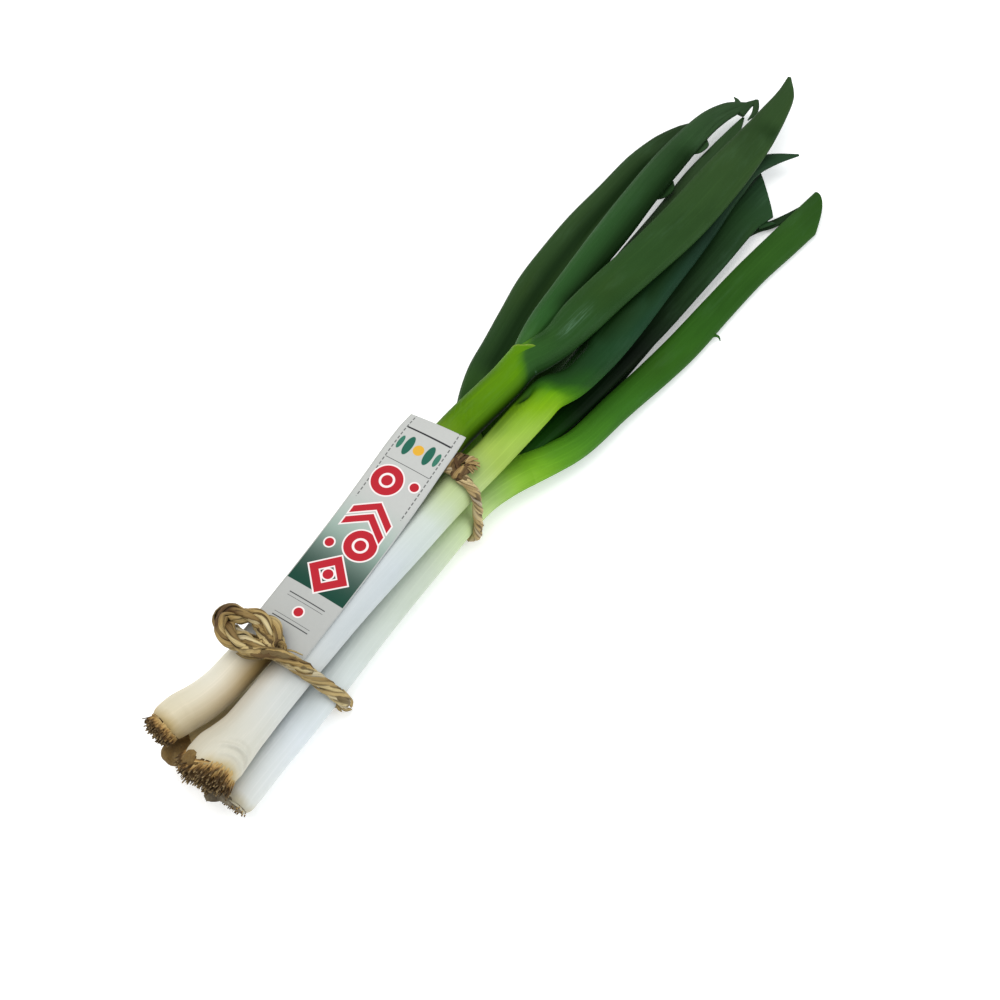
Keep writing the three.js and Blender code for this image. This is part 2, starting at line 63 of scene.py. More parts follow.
STEMS = {
    "a": [
        (6, 35.5, 38.5, 17, 17), (10, 35, 38.5, 21, 20.5), (18, 33.2, 38.5, 22.8, 22.5),
        (28, 29.8, 38.5, 22.4, 22.4), (40, 27.6, 38.5, 21.8, 22), (60, 27.2, 38.5, 21.8, 22),
        (103, 27.4, 38.6, 22, 22.2), (162, 28, 39, 22.2, 22.4), (225, 28.2, 39.8, 23, 22.6),
        (250, 28, 41, 23.2, 22), (275, 26, 42.6, 23.2, 21), (292, 24.8, 43.6, 23, 20),
        (309, 24.6, 44.4, 22.4, 19),
    ],
    "b": [
        (3.5, 0.8, 38.5, 27, 26), (7, 0.8, 38.6, 30.6, 29.4), (13, 0.8, 38.5, 31, 29.4),
        (20, 0.4, 38.4, 28.6, 27.6), (31, 0.2, 38.4, 25.4, 25), (48, 1.2, 38.5, 24.6, 24.6),
        (75, 2.6, 38.7, 24, 24), (126, 3.8, 39, 23.8, 23.8), (165, 3.8, 39.4, 23.4, 23.2),
        (205, 3, 39.8, 22.8, 22.4), (243, 1, 40, 22.2, 21.6), (272, 0.8, 39.6, 22.8, 21),
        (288, 0.8, 39.4, 23.2, 20), (303, 0.6, 39, 23, 19),
    ],
    "c": [
        (0, -14.2, 15.6, 19.6, 19.6), (5, -13.8, 15.6, 21.6, 21.4), (14, -13, 15.5, 22.6, 22.4),
        (31, -12.2, 15.5, 22, 22), (53, -11.4, 15.5, 22, 22), (78, -9.8, 15.5, 22.2, 22.2),
        (133, -5.6, 15.5, 22.4, 22.2), (172, -3.6, 15.5, 22.4, 22), (206, -2.6, 15.5, 22, 21.8),
        (230, -3.2, 15.2, 21.4, 20.6), (248, -6.6, 14.8, 22.4, 19), (264, -12, 14.6, 23, 18),
    ],
    "d": [
        (2, 26, 15.8, 18, 18), (7, 25.2, 15.6, 21, 21), (18, 22.8, 15.5, 22, 22),
        (40, 17.6, 15.4, 21.8, 21.8), (75, 14, 15.4, 21.8, 21.8), (133, 17.6, 15.4, 21.8, 21.6),
        (180, 21.4, 15.4, 21.8, 21.6), (220, 24.4, 15.4, 21.6, 21.4), (245, 27.4, 15.6, 21, 20),
        (264, 31.4, 16, 20, 18),
    ],
}

# The leaf that carries each stem's outer sheath on, from the neck to its tip.
MAIN_LEAVES = {
    "a": [
        (321, 20.6, 45, 22.4, 17, 2), (335, 17.4, 44.8, 21.8, 14.6, 5), (360, 17.4, 43.4, 26.6, 12.5, 7),
        (391, 16.8, 41, 28.4, 11.4, 8), (423, 15.4, 38, 29.4, 10.6, 8), (474, 14.2, 33.4, 30.4, 9.8, 8),
        (528, 16.6, 29, 30.6, 9, 6), (572, 19.6, 25.6, 26, 8, 4), (601, 23, 23.6, 19.6, 6.4, 0),
        (625, 27, 22, 12.4, 4.6, 0), (643, 34.4, 21, 2.6, 1.6, 0),
    ],
    "b": [
        (320, -4, 37.4, 23.2, 15.6, 0), (349, -3.4, 33.8, 26.4, 12.6, 2), (381, -0.2, 30, 28.6, 11.4, 4),
        (414, 3.2, 26.6, 29.6, 10.6, 4), (483, 10.2, 21.6, 29.4, 9.6, 2), (530, 15, 18.6, 27, 8.2, 0),
        (555, 12, 16.6, 18, 6.6, 0), (574, 3, 15, 10, 4.4, 0), (589, -8, 13.6, 1.8, 1.4, 0),
    ],
    "c": [
        (281, -19.6, 13.2, 19.4, 15, 0), (300, -25.2, 11.4, 18.2, 13.5, 0), (339, -28, 8.8, 20, 12.6, 0),
        (376, -31.4, 6.6, 21.4, 11.6, 0), (407, -33.6, 5, 22, 10.6, 0), (446, -34.4, 4.3, 21.4, 9.8, 0),
        (487, -35.6, 4.1, 21, 9.4, 0), (521, -38.6, 3.9, 22.4, 9, 0), (561, -42.6, 3.9, 23.6, 8.6, 0),
    ],
    "d": [
        (280, 41.4, 16.8, 20, 15, 0), (304, 51, 15.4, 22.6, 13, 0), (330, 57.4, 13, 24, 12, 0),
        (355, 64, 10.4, 25.4, 11.4, 0), (384, 70.6, 7.4, 27, 10.8, 0), (416, 75, 5, 27, 10.2, 0),
        (450, 78, 4.3, 26.4, 9.8, 0), (485, 79, 4.1, 25, 9.2, 0), (520, 79, 4, 23.6, 8.6, 0),
        (548, 76.8, 3.8, 19.4, 7.4, 0), (568, 73.4, 3.4, 12, 5.4, 0), (583, 69.4, 3, 2.4, 2, 0),
    ],
}

# Younger leaves that come out of a sheath's mouth.
INNER_LEAVES = {
    "a2": [
        (300, 27.6, 44.4, 9, 13, 0), (314, 30.6, 44, 10, 14.4, 0), (330, 34.2, 42, 13, 13.4, 0),
        (352, 38, 38.4, 17.4, 12, -4), (383, 41.6, 34.6, 21.4, 11, -8), (436, 47.2, 31, 23, 10.2, -8),
        (470, 51.6, 27.4, 23.4, 9.6, -6), (506, 55.8, 23.6, 22.6, 9, -4), (542, 58.6, 19.6, 20.4, 8, 0),
        (578, 58.4, 16.2, 17.6, 6.4, 0), (597, 54, 14.2, 13.4, 4.6, 0), (611, 47, 12.4, 3.4, 2, 0),
    ],
    "d2": [
        (266, 25.4, 15.6, 13, 13, 0), (284, 22.6, 17, 15.4, 12, 0), (306, 21.4, 18.6, 16.4, 11, 0),
        (330, 22, 20, 16.8, 10, 0), (352, 23, 20.4, 17, 9.4, 0), (396, 27.6, 18.6, 18, 9, -4),
        (440, 31, 15.4, 20, 8.4, -6), (486, 33.8, 12.6, 20.8, 8, -6), (530, 37.2, 11, 19.6, 7.4, -4),
        (566, 40, 10, 14, 6, 0), (586, 42.2, 9.4, 8, 4.4, 0), (600, 44.4, 9, 1.8, 1.4, 0),
    ],
    "c2": [
        (254, -6, 17.4, 7, 9, 0), (264, -6.4, 17, 8.4, 10, 0), (281, -6.8, 15.6, 12.4, 10.6, 0),
        (303, -7.6, 13.8, 15.6, 10.2, 0), (333, -8.4, 12, 17.6, 9.6, 0), (382, -8.6, 10.4, 21.8, 8.8, 0),
        (420, -8.4, 9.8, 23.4, 8.2, 0), (472, -8.2, 9.4, 24.2, 7.6, 0), (520, -7, 9, 25.4, 7, 0),
        (548, -8, 8.6, 30.6, 6.4, 0),
    ],
    "c3": [
        (256, -7, 9, 5, 4.4, 0), (264, -7, 8.4, 5.6, 4.4, 0), (284, -8, 6.6, 6.6, 3.6, 0),
        (306, -12, 4.4, 7.6, 3.2, 0), (350, -13.8, 3, 8.6, 3, 0), (412, -12.4, 2.4, 9, 2.8, 0),
        (476, -12, 2.4, 8, 2.8, 0), (512, -13.4, 2.5, 7, 2.6, 0), (522, -17, 2.7, 6.4, 2.6, 0),
        (531, -23, 3, 6.4, 2.4, 0), (541, -27.4, 3.2, 6, 2.2, 0), (553, -31, 3.4, 4, 2, 0),
        (564, -33.4, 3.6, 1.4, 1, 0),
    ],
}

# Trimmed ends: how far the cut runs past the route's end, how far it leans back across the leaf,
# and how fast it falls away from the leaf's far edge.
CUTS = {"c1": (12, 0, 0.055), "c2": (0, 0.95, 0)}

# Torn points fused to a leaf: a2's crumpled tip, c1's barb and the pinched corner of c2.
TEARS = {
    "a2": [
        [
            (598, 51, 13, 9, 3), (605, 53, 12.8, 6.5, 2.4), (608.6, 56, 12.6, 3.4, 1.8),
            (610, 59.4, 12.6, 0.8, 0.6),
        ],
        [
            (598, 48, 12.8, 10, 3.2), (608, 47.4, 12.4, 7.4, 2.4), (614, 46, 12, 4.6, 1.8),
            (619, 44.6, 11.8, 1, 0.8),
        ],
        [
            (618, 45, 12, 3.4, 1.8), (612, 41.6, 11.8, 4.6, 2), (606, 39.4, 11.6, 4, 1.8),
            (598, 39.6, 11.2, 1, 0.8),
        ],
        [(488, 47, 20, 2, 1.5), (494, 44.6, 19.8, 6, 2), (503, 43.8, 19.4, 6, 2), (510, 46, 19, 1, 1)],
        [
            (541, 51.4, 16.6, 2, 1.5), (548, 49.4, 16.4, 6.4, 2), (555, 48.4, 16, 5, 1.8),
            (560, 50.6, 15.6, 1, 1),
        ],
    ],
    "c1": [
        [
            (421, -41, 4.4, 6, 2.6), (427, -44.6, 4.2, 2.6, 1.8), (428, -47.4, 3.8, 1.6, 1.2),
            (426, -50, 3.6, 0.5, 0.4),
        ],
    ],
    "c2": [[(522, -17, 6.8, 8, 3.4), (528, -21.6, 6, 5, 2.4), (533, -25.6, 4.8, 0.9, 0.8)]],
}

# The paper strip's middle line from under the lower tie to its free end. The fifth value is the
# thickness of the plain solid.
LABEL_ROWS = [
    (69.4, 15.9, 51.5, 39, 0.7, -1.6), (78, 16.6, 51.5, 39, 0.7, -1.6), (90, 17.6, 51.7, 39, 0.7, -1.6),
    (125, 20.6, 52, 39, 0.7, -1.2), (160, 23.8, 53, 39, 0.7, -0.6), (188, 26.4, 55.6, 39, 0.7, -0.4),
    (210, 28.6, 58.2, 39, 0.7, -1), (223, 29.8, 59.2, 39, 0.7, -3), (235, 31, 59.4, 39, 0.7, -9),
]
LABEL_BOW = 0.9  # mm by which its long edges lie lower than its middle

# The label's print, in mm from its middle line and from its lower end.
PANEL_START = 42.5
PANEL_HALF = 18.9
PANEL_FADE = 68  # the length over which the green panel fades into the paper
# Ruled lines: place along, half length across, thickness.
RULES = (
    (19.6, 12, 0.6), (21.8, 12, 0.25), (33.4, 12, 0.25), (35.6, 12, 0.6),
    (134, 15, 0.35), (157, 15, 1.1),
)
# The two dashed lines: how far they are from the middle, where they start, half thickness, one dash.
DASHED_AT, DASHED_FROM, DASHED_HALF, DASH = 15.4, 104, 0.35, 3.2
# Red motifs: kind, place across, place along, size.
MOTIFS = (
    ("lozenge", 0, 55, 12), ("disc", 0, 55, 9), ("ring", -5, 79, 10), ("disc", -5, 79, 10),
    ("disc", 11.4, 72, 8), ("chevron", 0, 105, 13), ("chevron", 0, 97, 13), ("ring", 5.4, 121, 10),
    ("disc", 5.4, 121, 10), ("disc", -10.8, 125, 8), ("disc", 0, 27.6, 8),
)
MOTIF_RIM = 0.9  # the pale rim round each motif
# Ovals: place across, place along, half width, half length, colour.
OVALS = (
    (0, 146, 3.4, 3.4, (214, 164, 50)),
    (-7, 146, 2.6, 6.6, (24, 92, 74)), (7, 146, 2.6, 6.6, (24, 92, 74)),
    (-12.6, 146, 1.6, 4.6, (50, 112, 92)), (12.6, 146, 1.6, 4.6, (50, 112, 92)),
)

# Where each tie crosses the bench: place round the bunch in degrees, then x.
TIE_PLACES = {
    "lower": (
        (19, 70), (51, 65.5), (80, 68), (103, 70.8), (130, 73.6), (150, 76), (191, 80.4), (209, 82.6),
        (240, 83.5), (280, 82), (335, 77),
    ),
    "upper": (
        (20, 215), (60, 217.5), (106, 218.2), (120, 217.3), (146, 217.2), (175, 215), (201, 211.8),
        (234, 211.2), (270, 210), (335, 211),
    ),
}
TIE_SECTION = {"lower": 74, "upper": 213}  # the x at which the stems' outline gives each tie its shape
TIE_LIFT = 3.0  # mm from that outline to the tie's middle line
BUNCH_MIDDLE = (10, 28)  # y, z

# The carrying loop, out from the hitch and back to it.
LOOP = [
    (72.4, 8.4, 55.4), (68.4, 15, 58), (64.4, 22.6, 59), (62.3, 29.8, 59), (62.4, 37, 58.8),
    (64.4, 42.2, 58.8), (67.8, 44.8, 58.6), (71.4, 43.8, 58.6), (74.6, 39.4, 58.8), (77.3, 34.4, 58.9),
    (79.4, 29, 59), (79.8, 24, 59), (78.2, 18.1, 58.8), (75, 12.8, 57.6), (71.9, 9, 55.2),
]
# Share of the way round it, then its width there as a share of the usual, and how much paler it is.
LOOP_SWELL = ((0, 0.84), (0.22, 0.98), (0.46, 1.1), (0.54, 1.02), (0.66, 0.78), (0.8, 0.94), (1, 0.8))
LOOP_TONE = (
    (0, 0), (0.3, 0.2), (0.4, 0.1), (0.46, -0.35), (0.53, -0.35), (0.6, 0.1), (0.8, 0.3), (0.92, 0),
    (1, -0.4),
)
# The loop's slack strand, folded back inside it, and the strand that crosses over its foot.
INNER_BIGHT = [(77.6, 31, 58.4), (76, 26, 58.6), (73.9, 20.3, 58.8), (71.8, 13, 59), (71, 8.4, 58.4)]
CROSSING = [
    (60.6, 27, 59.8), (63.8, 16, 61.2), (67, 9.5, 61.8), (70, 3, 61), (72.2, -5.2, 58.4),
    (74.6, -12.5, 54.4),
]
WHIRL = (72.6, 8.4, 62)  # the middle of the small turn of straw on top of the hitch
WHIRL_RADIUS = 3.1

# The bows of the upper knot.
UPPER_KNOT = (
    [(216, 11, 53.4), (221, 8.8, 56.2), (226.4, 6.4, 56.2), (230, 2.4, 54)],
    [(230, 9.6, 53.6), (225, 8.4, 56.2), (219.6, 5, 56.4), (216, -1, 53.8)],
    [(214.6, 5, 54.6), (219, 1.6, 56.4), (225, 0, 55.8), (229, 0.6, 54)],
)
# Broken straws that stand off the lower cord: the line each one follows, and its width.
LOWER_ENDS = (
    ([(80.4, -18, 26), (79, -22, 17), (79.4, -24, 9), (83.4, -25.4, 3.4)], 5.2),
    ([(85, -20, 20), (86, -23.4, 11), (84.6, -25, 4)], 4.6),
    ([(78.6, -21.4, 16), (77.2, -23, 12.6), (77.8, -24, 9)], 2.2),
    ([(64, 12, 58), (61, 17, 56.4), (58.9, 22.6, 54), (58.4, 28, 52.4)], 3.8),
    ([(73, 8, 58), (76.2, 3.6, 57.4), (78.8, -1.4, 53.6)], 1.6),
)
FRAYED = (224, 4.4, 55.8)  # the middle of the upper knot, where its broken straws start
FRAYED_STRAWS = 13

# Wrinkles near a root end: place along, middle angle, half spread, how far the ends sag back in mm,
# height.
RING_FOLDS = {"b": [(21, 138, 40, 4.2, 1.7), (16.6, 142, 34, 3.4, 1.0)], "a": [(21, 120, 50, 2, 0.3)]}

# Earth stain on a stem, and painted shade on the side that lies against or under its neighbours:
# middle angle, spread, middle along it, reach in mm, strength.
STAINS_AND_SHADE = {
    "a": (158, 54, 84, 66, 0.5), "b": (52, 36, 70, 70, 0.16),
    "c": (60, 60, 0, 12, 0.1), "d": (140, 62, 56, 90, 0.5),
}
# Painted shade on a neck or leaf, where it lies under or against its neighbours; a1's first band is a
# dark patch near its tip. Each band: start, end, middle angle, half spread, strength. Angles are counted
# from 0 to 360, so a band whose middle is near 0 shows on one side of it only.
SHADES = {
    "a": [(222, 316, 192, 40, 0.5), (226, 306, 40, 24, 0.17)],
    "b": [(238, 314, 56, 30, 0.28), (226, 330, 14, 40, 0.5), (270, 303, 50, 24, 0.5)],
    "a1": [(568, 596, 140, 60, 0.28), (314, 340, 58, 40, 0.2)],
    "a2": [(346, 550, 148, 54, 0.5), (330, 380, 156, 22, 0.15)],
    "b1": [
        (292, 384, 34, 58, 0.5), (340, 430, 76, 30, 0.45), (390, 490, 104, 24, 0.42),
        (430, 520, 60, 50, 0.25),
    ],
    "c2": [(320, 490, 88, 18, 0.3)],
    "d1": [(292, 540, 106, 22, 0.42), (250, 300, 70, 70, 0.3)],
}

# How many mm later the green comes in on the right-hand side, and sooner on the left.
SLANTS = {"a": -13, "b": 12, "c": 0, "d": 0}
RIGHT_SIDE = 199.4  # the edge of a stem that the camera sees at the right

# Root tufts: how many roots stand inside and at the rim, their length, how far the tuft reaches up the
# stem, how far the outer roots lean, half thickness, how far the plate bulges, and the plate's tone.
Tuft = namedtuple("Tuft", "inside at_rim length depth splay thickness bulge plate")
RUSTY = 2.0  # the tone at which a root end's plate turns to smooth dried skin
TUFTS = {
    "a": Tuft(190, 150, 6.0, 3.3, 0.14, 0.5, 1.2, 1.0),
    "b": Tuft(330, 190, 9.0, 5.8, 0.45, 0.52, 1.6, 1.0),
    "c": Tuft(30, 0, 1.2, 1.2, 0.2, 0.45, 1.0, RUSTY + 1),
    "d": Tuft(8, 0, 1.4, 4.4, 0.2, 0.5, 3.2, RUSTY),
}
# Where round a stem its roots reach furthest up it, and over how wide a spread.
FULLEST = {"a": (170, 150), "b": (142, 52), "c": (140, 90), "d": (140, 90)}
# How far one side of a stem's base grows out past its end: reach in mm, middle angle, spread.
DRAWN_OUT = {"a": (1.6, 100, 200), "b": (5.6, 62, 46), "c": (0, 0, 90), "d": (0, 0, 90)}
DRAWN_BACK = 16  # mm up the stem over which that dies away
TUCK_REACH = 2.2  # mm over which a stem's first rings draw in under its roots
# Dried skin and lumps of the base, as short closed tubes at the root ends.
DRY_SKIN = {
    "c": [
        [
            (6, -4.6, 22, 9, 2.4), (1, -4.4, 21.6, 12, 2.2), (-3.5, -4, 21, 9, 1.6),
            (-6.6, -2.6, 20.6, 4, 1.1),
        ],
        [(5, -11, 25, 8, 1.8), (0, -11.4, 23.4, 9, 1.6), (-2.4, -12, 21.6, 5, 1.0)],
    ],
    "b": [[(-3, 7.2, 49.2, 7, 2.6), (-0.6, 6.8, 51, 9, 3), (2, 6.2, 52, 9, 2.6), (4.6, 5.8, 52, 5, 1.6)]],
    "d": [
        [
            (16, 23.2, 15.6, 19, 19), (10, 25, 17, 20.4, 19.6), (5.6, 26.4, 18.4, 20.4, 19),
            (2, 27.2, 19, 18.6, 17.4), (-1.4, 27, 19, 14.6, 13.6), (-3.6, 26.4, 18.8, 9, 8.6),
            (-4.6, 26.2, 18.6, 2, 2),
        ],
    ],
}

# Pressed dents: start, end, angle at each, half spread, depth.
CREASES = {
    "b": [(279, 300, 48, 54, 15, 3.2)],
    "a1": [(470, 636, 132, 118, 16, 0.8), (560, 640, 90, 96, 9, 0.5)],
    "a2": [(500, 608, 118, 104, 13, 1.3), (545, 606, 150, 128, 9, 0.9)],
    "b1": [(380, 560, 70, 84, 16, 0.9), (303, 356, 32, 38, 28, 2.6)],
    "c2": [(420, 546, 128, 142, 11, 1.1)],
    "d1": [(420, 570, 128, 112, 14, 0.9)],
    "d2": [(330, 590, 96, 96, 20, 0.7)],
}

# Fine wrinkles in a sheath: middle along, middle angle, reach along and round in mm, pitch, slant,
# height.
WRINKLES = {
    "a": [(256, 84, 14, 9, 2.6, 58, 0.34)],
    "b": [(278, 66, 9, 6, 2.6, 44, 0.34)],
    "a1": [(310, 176, 6, 4, 2.8, 35, 0.25)],
}
# Pale waxy streaks, and in the second row a painted highlight on a1's shoulder: start, end,
# middle angle, half spread, strength.
WAX_AND_HIGHLIGHT = {"a1": [(308, 386, 92, 22, 0.42), (303, 314, 172, 13, 1.0)]}

PLAIN = 0.5  # the tone of plain flesh: a higher one carries an earth stain and painted shade, a lower one waxy streaks and a painted highlight
STEM_STEP, LEAF_STEP, FLAP_STEP = 0.9, 1.3, 0.8  # mm from ring to ring
SHADE_FADE, WAX_AND_HIGHLIGHT_FADE = 22, 30  # mm over which a band of painted shade, and a waxy streak with its painted highlight, come in
LEAF_WALL = 0.9  # mm of flesh round a cut leaf's hollow
STRAW_SIDES = 10
STRAND_SHARE = {1: 1, 3: 0.54}  # a strand's width as a share of the cord's, for one strand or three
ROOT_STEPS = np.array([-0.15, 0.15, 0.4, 0.65, 0.88, 0.97, 1.0])  # shares of a cut root's length
GOLDEN_TURN = 2.39996  # radians from root to root, which spreads them evenly over the plate
ALONG, UP = (1, 0, 0), (0, 0, 1)
RIM = 0.05  # mm; a ring this close to each end keeps the sides' shading straight up to the rim


def circle(sides):
    """Even turns round a circle, in radians."""
    return np.linspace(0, 2 * math.pi, sides, endpoint=False)


ROUND = circle(84)  # the points in each ring of a stem or leaf


# ------------------------------------------------------------------ lines, rings and meshes
FINE = 40  # points worked out for each given point of a line, before they are spaced evenly


def smooth_line(points, shares, closed=False):
    """Points on the smooth line through `points`, at shares 0 to 1 of its pieces.

    Each piece is a cubic, and its slopes weigh the neighbours by the square roots of their distances.
    """
    p = np.asarray(points, float)
    count = len(p)
    spans = count if closed else count - 1
    x = np.clip(np.asarray(shares, float), 0, 1) * spans
    i = np.minimum(np.floor(x).astype(int), spans - 1)
    w = (x - i)[:, None]
    if closed:
        q = [p[(i + k) % count] for k in (-1, 0, 1, 2)]
    else:
        longer = np.vstack([2 * p[0] - p[1], p, 2 * p[-1] - p[-2]])
        q = [longer[i + k] for k in range(4)]
    d = [np.sqrt(np.linalg.norm(q[k + 1] - q[k], axis=1))[:, None] for k in range(3)]
    d[1] = np.where(d[1] < 1e-4, 1, d[1])
    d[0] = np.where(d[0] < 1e-4, d[1], d[0])
    d[2] = np.where(d[2] < 1e-4, d[1], d[2])
    into = ((q[1] - q[0]) / d[0] - (q[2] - q[0]) / (d[0] + d[1]) + (q[2] - q[1]) / d[1]) * d[1]
    out = ((q[2] - q[1]) / d[1] - (q[3] - q[1]) / (d[1] + d[2]) + (q[3] - q[2]) / d[2]) * d[1]
    square = 3 * (q[2] - q[1]) - 2 * into - out
    cube = 2 * (q[1] - q[2]) + into + out
    return q[1] + into * w + square * w**2 + cube * w**3


def run_along(line):
    """The length of a line up to each of its points."""
    return np.concatenate([[0], np.cumsum(np.linalg.norm(np.diff(line, axis=0), axis=1))])


def unit(v):
    return v / np.linalg.norm(v, axis=-1, keepdims=True)


def ease(x, low, high):
    """0 below low, 1 above high, and a soft step between."""
    t = np.clip((np.asarray(x, float) - low) / (high - low), 0, 1)
    return t * t * (3 - 2 * t)


def bell(x):
    """1 at 0, falling smoothly to 0 on both sides."""
    return np.exp(-(x**2))


def spreads_off(angles, middle, spread):
    """How many spreads each angle lies from the middle, which is counted from 0 to 360."""
    return (angles - math.radians(middle)) / math.radians(spread)


def turn_from(middle, angles):
    """The turn from the middle to each angle, the short way round."""
    return np.angle(np.exp(1j * (angles - np.radians(middle))))


def waves(rng, along, angle, count, longest, most_round):
    """A gentle seeded unevenness between about -1 and 1 over a tube's surface."""
    total = np.zeros(np.broadcast(along, angle).shape)
    for _ in range(count):
        stretch = 2 * math.pi / (longest * rng.uniform(0.35, 1))
        lobes = rng.integers(0, most_round + 1)
        total += np.sin(along * stretch + lobes * angle + rng.uniform(0, 6.28))
    return total / math.sqrt(count)


class Stations:
    """Evenly spaced places along a route, each with its axes and its section's size.

    They stand `pitch` apart along the smooth line through the rows, between the places where that
    line passes x = start and x = stop.
    """

    def __init__(self, rows, pitch, start=0.0, stop=math.inf):
        rows = np.array([tuple(r) + (0,) * (6 - len(r)) for r in rows], float)
        fine = np.linspace(0, 1, FINE * len(rows))
        line = smooth_line(rows[:, :3], fine)
        run = run_along(line)
        low = np.interp(start, line[:, 0], run) if start else 0.0
        high = np.interp(stop, line[:, 0], run) if stop < line[-1, 0] else run[-1]
        self.run = np.linspace(low, high, max(3, round((high - low) / pitch) + 1))
        self.run = np.sort(np.append(self.run, (low + RIM, high - RIM)))
        share = np.interp(self.run, run, fine)
        self.centre = smooth_line(rows[:, :3], share)
        sizes = smooth_line(rows[:, 3:6], share)
        self.width, self.height = sizes[:, 0], sizes[:, 1]
        nudge = 0.002
        ahead = smooth_line(rows[:, :3], share + nudge)
        self.along = unit(ahead - smooth_line(rows[:, :3], share - nudge))
        side = unit(np.cross((0, 0, 1), self.along))
        top = np.cross(self.along, side)
        turn = np.radians(sizes[:, 2])[:, None]
        self.side = side * np.cos(turn) + top * np.sin(turn)
        self.top = top * np.cos(turn) - side * np.sin(turn)

    def surface(self, angles, square=1.0, relief=0.0):
        """The rings' points, and where they would lie if the tube were straight."""
        square = np.broadcast_to(np.asarray(square, float).reshape(-1, 1), (len(self.run), 1))
        c = np.sign(np.cos(angles)) * np.abs(np.cos(angles)) ** square
        s = np.sign(np.sin(angles)) * np.abs(np.sin(angles)) ** square
        a = c * (self.width[:, None] / 2 + relief)
        b = s * (self.height[:, None] / 2 + relief)
        points = self.centre[:, None] + a[..., None] * self.side[:, None]
        points = points + b[..., None] * self.top[:, None]
        lay = np.stack([a, b, np.broadcast_to(self.run[:, None], a.shape)], -1)
        return points, lay


class Piece:
    """Gathers grids of points into one mesh with its fields for the materials.

    lay is where a point would be if its tube were straight, grow its place along the onion's growth,
    tone a shade and edge a nearness to a rim.
    """

    def __init__(self):
        self.points, self.faces, self.fields, self.total = [], [], [], 0
        self.flat = []  # the faces over the ends, which aren't shaded smooth

    def add(self, points, lay=None, grow=None, tone=PLAIN, edge=0.0, caps=(True, True)):
        """Adds a tube, one row of points for each ring, with a flat fan over each end in `caps`."""
        rows, cols = points.shape[:2]
        spots = points.reshape(-1, 3)
        lay = spots if lay is None else lay.reshape(-1, 3)
        grow = spots[:, 0] if grow is None else np.broadcast_to(grow, (rows, cols)).ravel()
        tone = np.broadcast_to(tone, (rows, cols)).ravel()
        edge = np.broadcast_to(edge, (rows, cols)).ravel()
        index = np.arange(rows * cols).reshape(rows, cols)
        nearby = np.roll(index, -1, axis=1)
        quads = np.stack([index[:-1], nearby[:-1], nearby[1:], index[1:]], -1).reshape(-1, 4)
        self.faces += (quads + self.total).tolist()
        fields = np.column_stack([lay, grow, tone, edge])
        size = rows * cols
        for which, wanted in zip((0, -1), caps):
            if not wanted:
                continue
            ring = index[which]
            spots = np.vstack([spots, spots[ring].mean(0)])
            fields = np.vstack([fields, fields[ring].mean(0)])
            ends = np.stack([ring, np.roll(ring, -1), np.full(cols, size)], -1)
            ends = ends[:, [1, 0, 2]] if which == 0 else ends
            self.flat += range(len(self.faces), len(self.faces) + cols)
            self.faces += (ends + self.total).tolist()
            size += 1
        self.points.append(spots)
        self.fields.append(fields)
        self.total += size

    def finish(self, name, material, slot, replaced):
        """Makes the mesh object and sets it in the CAD node's place."""
        points = np.vstack(self.points)
        points[:, 2] = np.maximum(points[:, 2], 0)  # nothing goes through the table
        mesh = bpy.data.meshes.new(name)
        mesh.from_pydata((points * MM + bench_shift()).tolist(), [], self.faces)
        soft = np.ones(len(mesh.polygons), bool)
        soft[self.flat] = False
        mesh.polygons.foreach_set("use_smooth", soft)
        fields = np.vstack(self.fields)
        lay = mesh.attributes.new("lay", "FLOAT_VECTOR", "POINT")
        lay.data.foreach_set("vector", (fields[:, :3] * MM).astype(np.float32).ravel())
        for column, field in ((3, "grow"), (4, "tone"), (5, "edge")):
            values = fields[:, column] * (MM if field == "grow" else 1)
            attribute = mesh.attributes.new(field, "FLOAT", "POINT")
            attribute.data.foreach_set("value", values.astype(np.float32))
        mesh.materials.append(material)
        made = bpy.data.objects.new(name, mesh)
        bpy.context.scene.collection.objects.link(made)
        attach(made, "root")
        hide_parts(replaced)


def label_plies(stations, thickness, across):
    """Top and under face of a strip of paper, as grids of points."""
    share = across / (stations.width[:, None] / 2)
    middle = stations.centre[:, None] + across[..., None] * stations.side[:, None]
    middle = middle - (LABEL_BOW * share**2)[..., None] * stations.top[:, None]
    lift = thickness / 2 * stations.top[:, None]
    return middle + lift, middle - lift


@cache
def bench_shift():
    """Where the bench's zero lies in the part's own frame, from two corners of the label's solid."""
    label = Stations(LABEL_ROWS, 1)
    across = np.linspace(-0.5, 0.5, 5) * label.width[:, None]
    upper, under = label_plies(label, LABEL_ROWS[0][4], across)
    low = np.minimum(upper[0].min(0), under[0].min(0))
    far = np.maximum(upper[-1].max(0), under[-1].max(0))
    near_corner, far_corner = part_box("label")
    return np.array([near_corner[0] - low[0] * MM, far_corner[1] - far[1] * MM, 0])


# ------------------------------------------------------------------ shader arithmetic
class Wire:
    """A node's socket that can stand in plain arithmetic."""

    def __init__(self, look, socket):
        self.look, self.socket = look, socket

    def maths(self, operation, *values):
        return self.look.node("ShaderNodeMath", {"operation": operation}, dict(enumerate(values)))

    def __add__(self, other):
        return self.maths("ADD", self, other)

    def __sub__(self, other):
        return self.maths("SUBTRACT", self, other)

    def __rsub__(self, other):
        return self.maths("SUBTRACT", other, self)

    def __mul__(self, other):
        return self.maths("MULTIPLY", self, other)

    def __truediv__(self, other):
        return self.maths("DIVIDE", self, other)

    def __pow__(self, other):
        return self.maths("POWER", self, other)

    def __abs__(self):
        return self.maths("ABSOLUTE", self)

    __radd__ = __add__
    __rmul__ = __mul__

    def step(self, low, high):
        """0 at low, 1 at high, eased between; low may be the larger."""
        return self.look.node(
            "ShaderNodeMapRange",
            {"interpolation_type": "SMOOTHSTEP"},
            {0: self, 1: low, 2: high, 3: 0.0, 4: 1.0},
        )


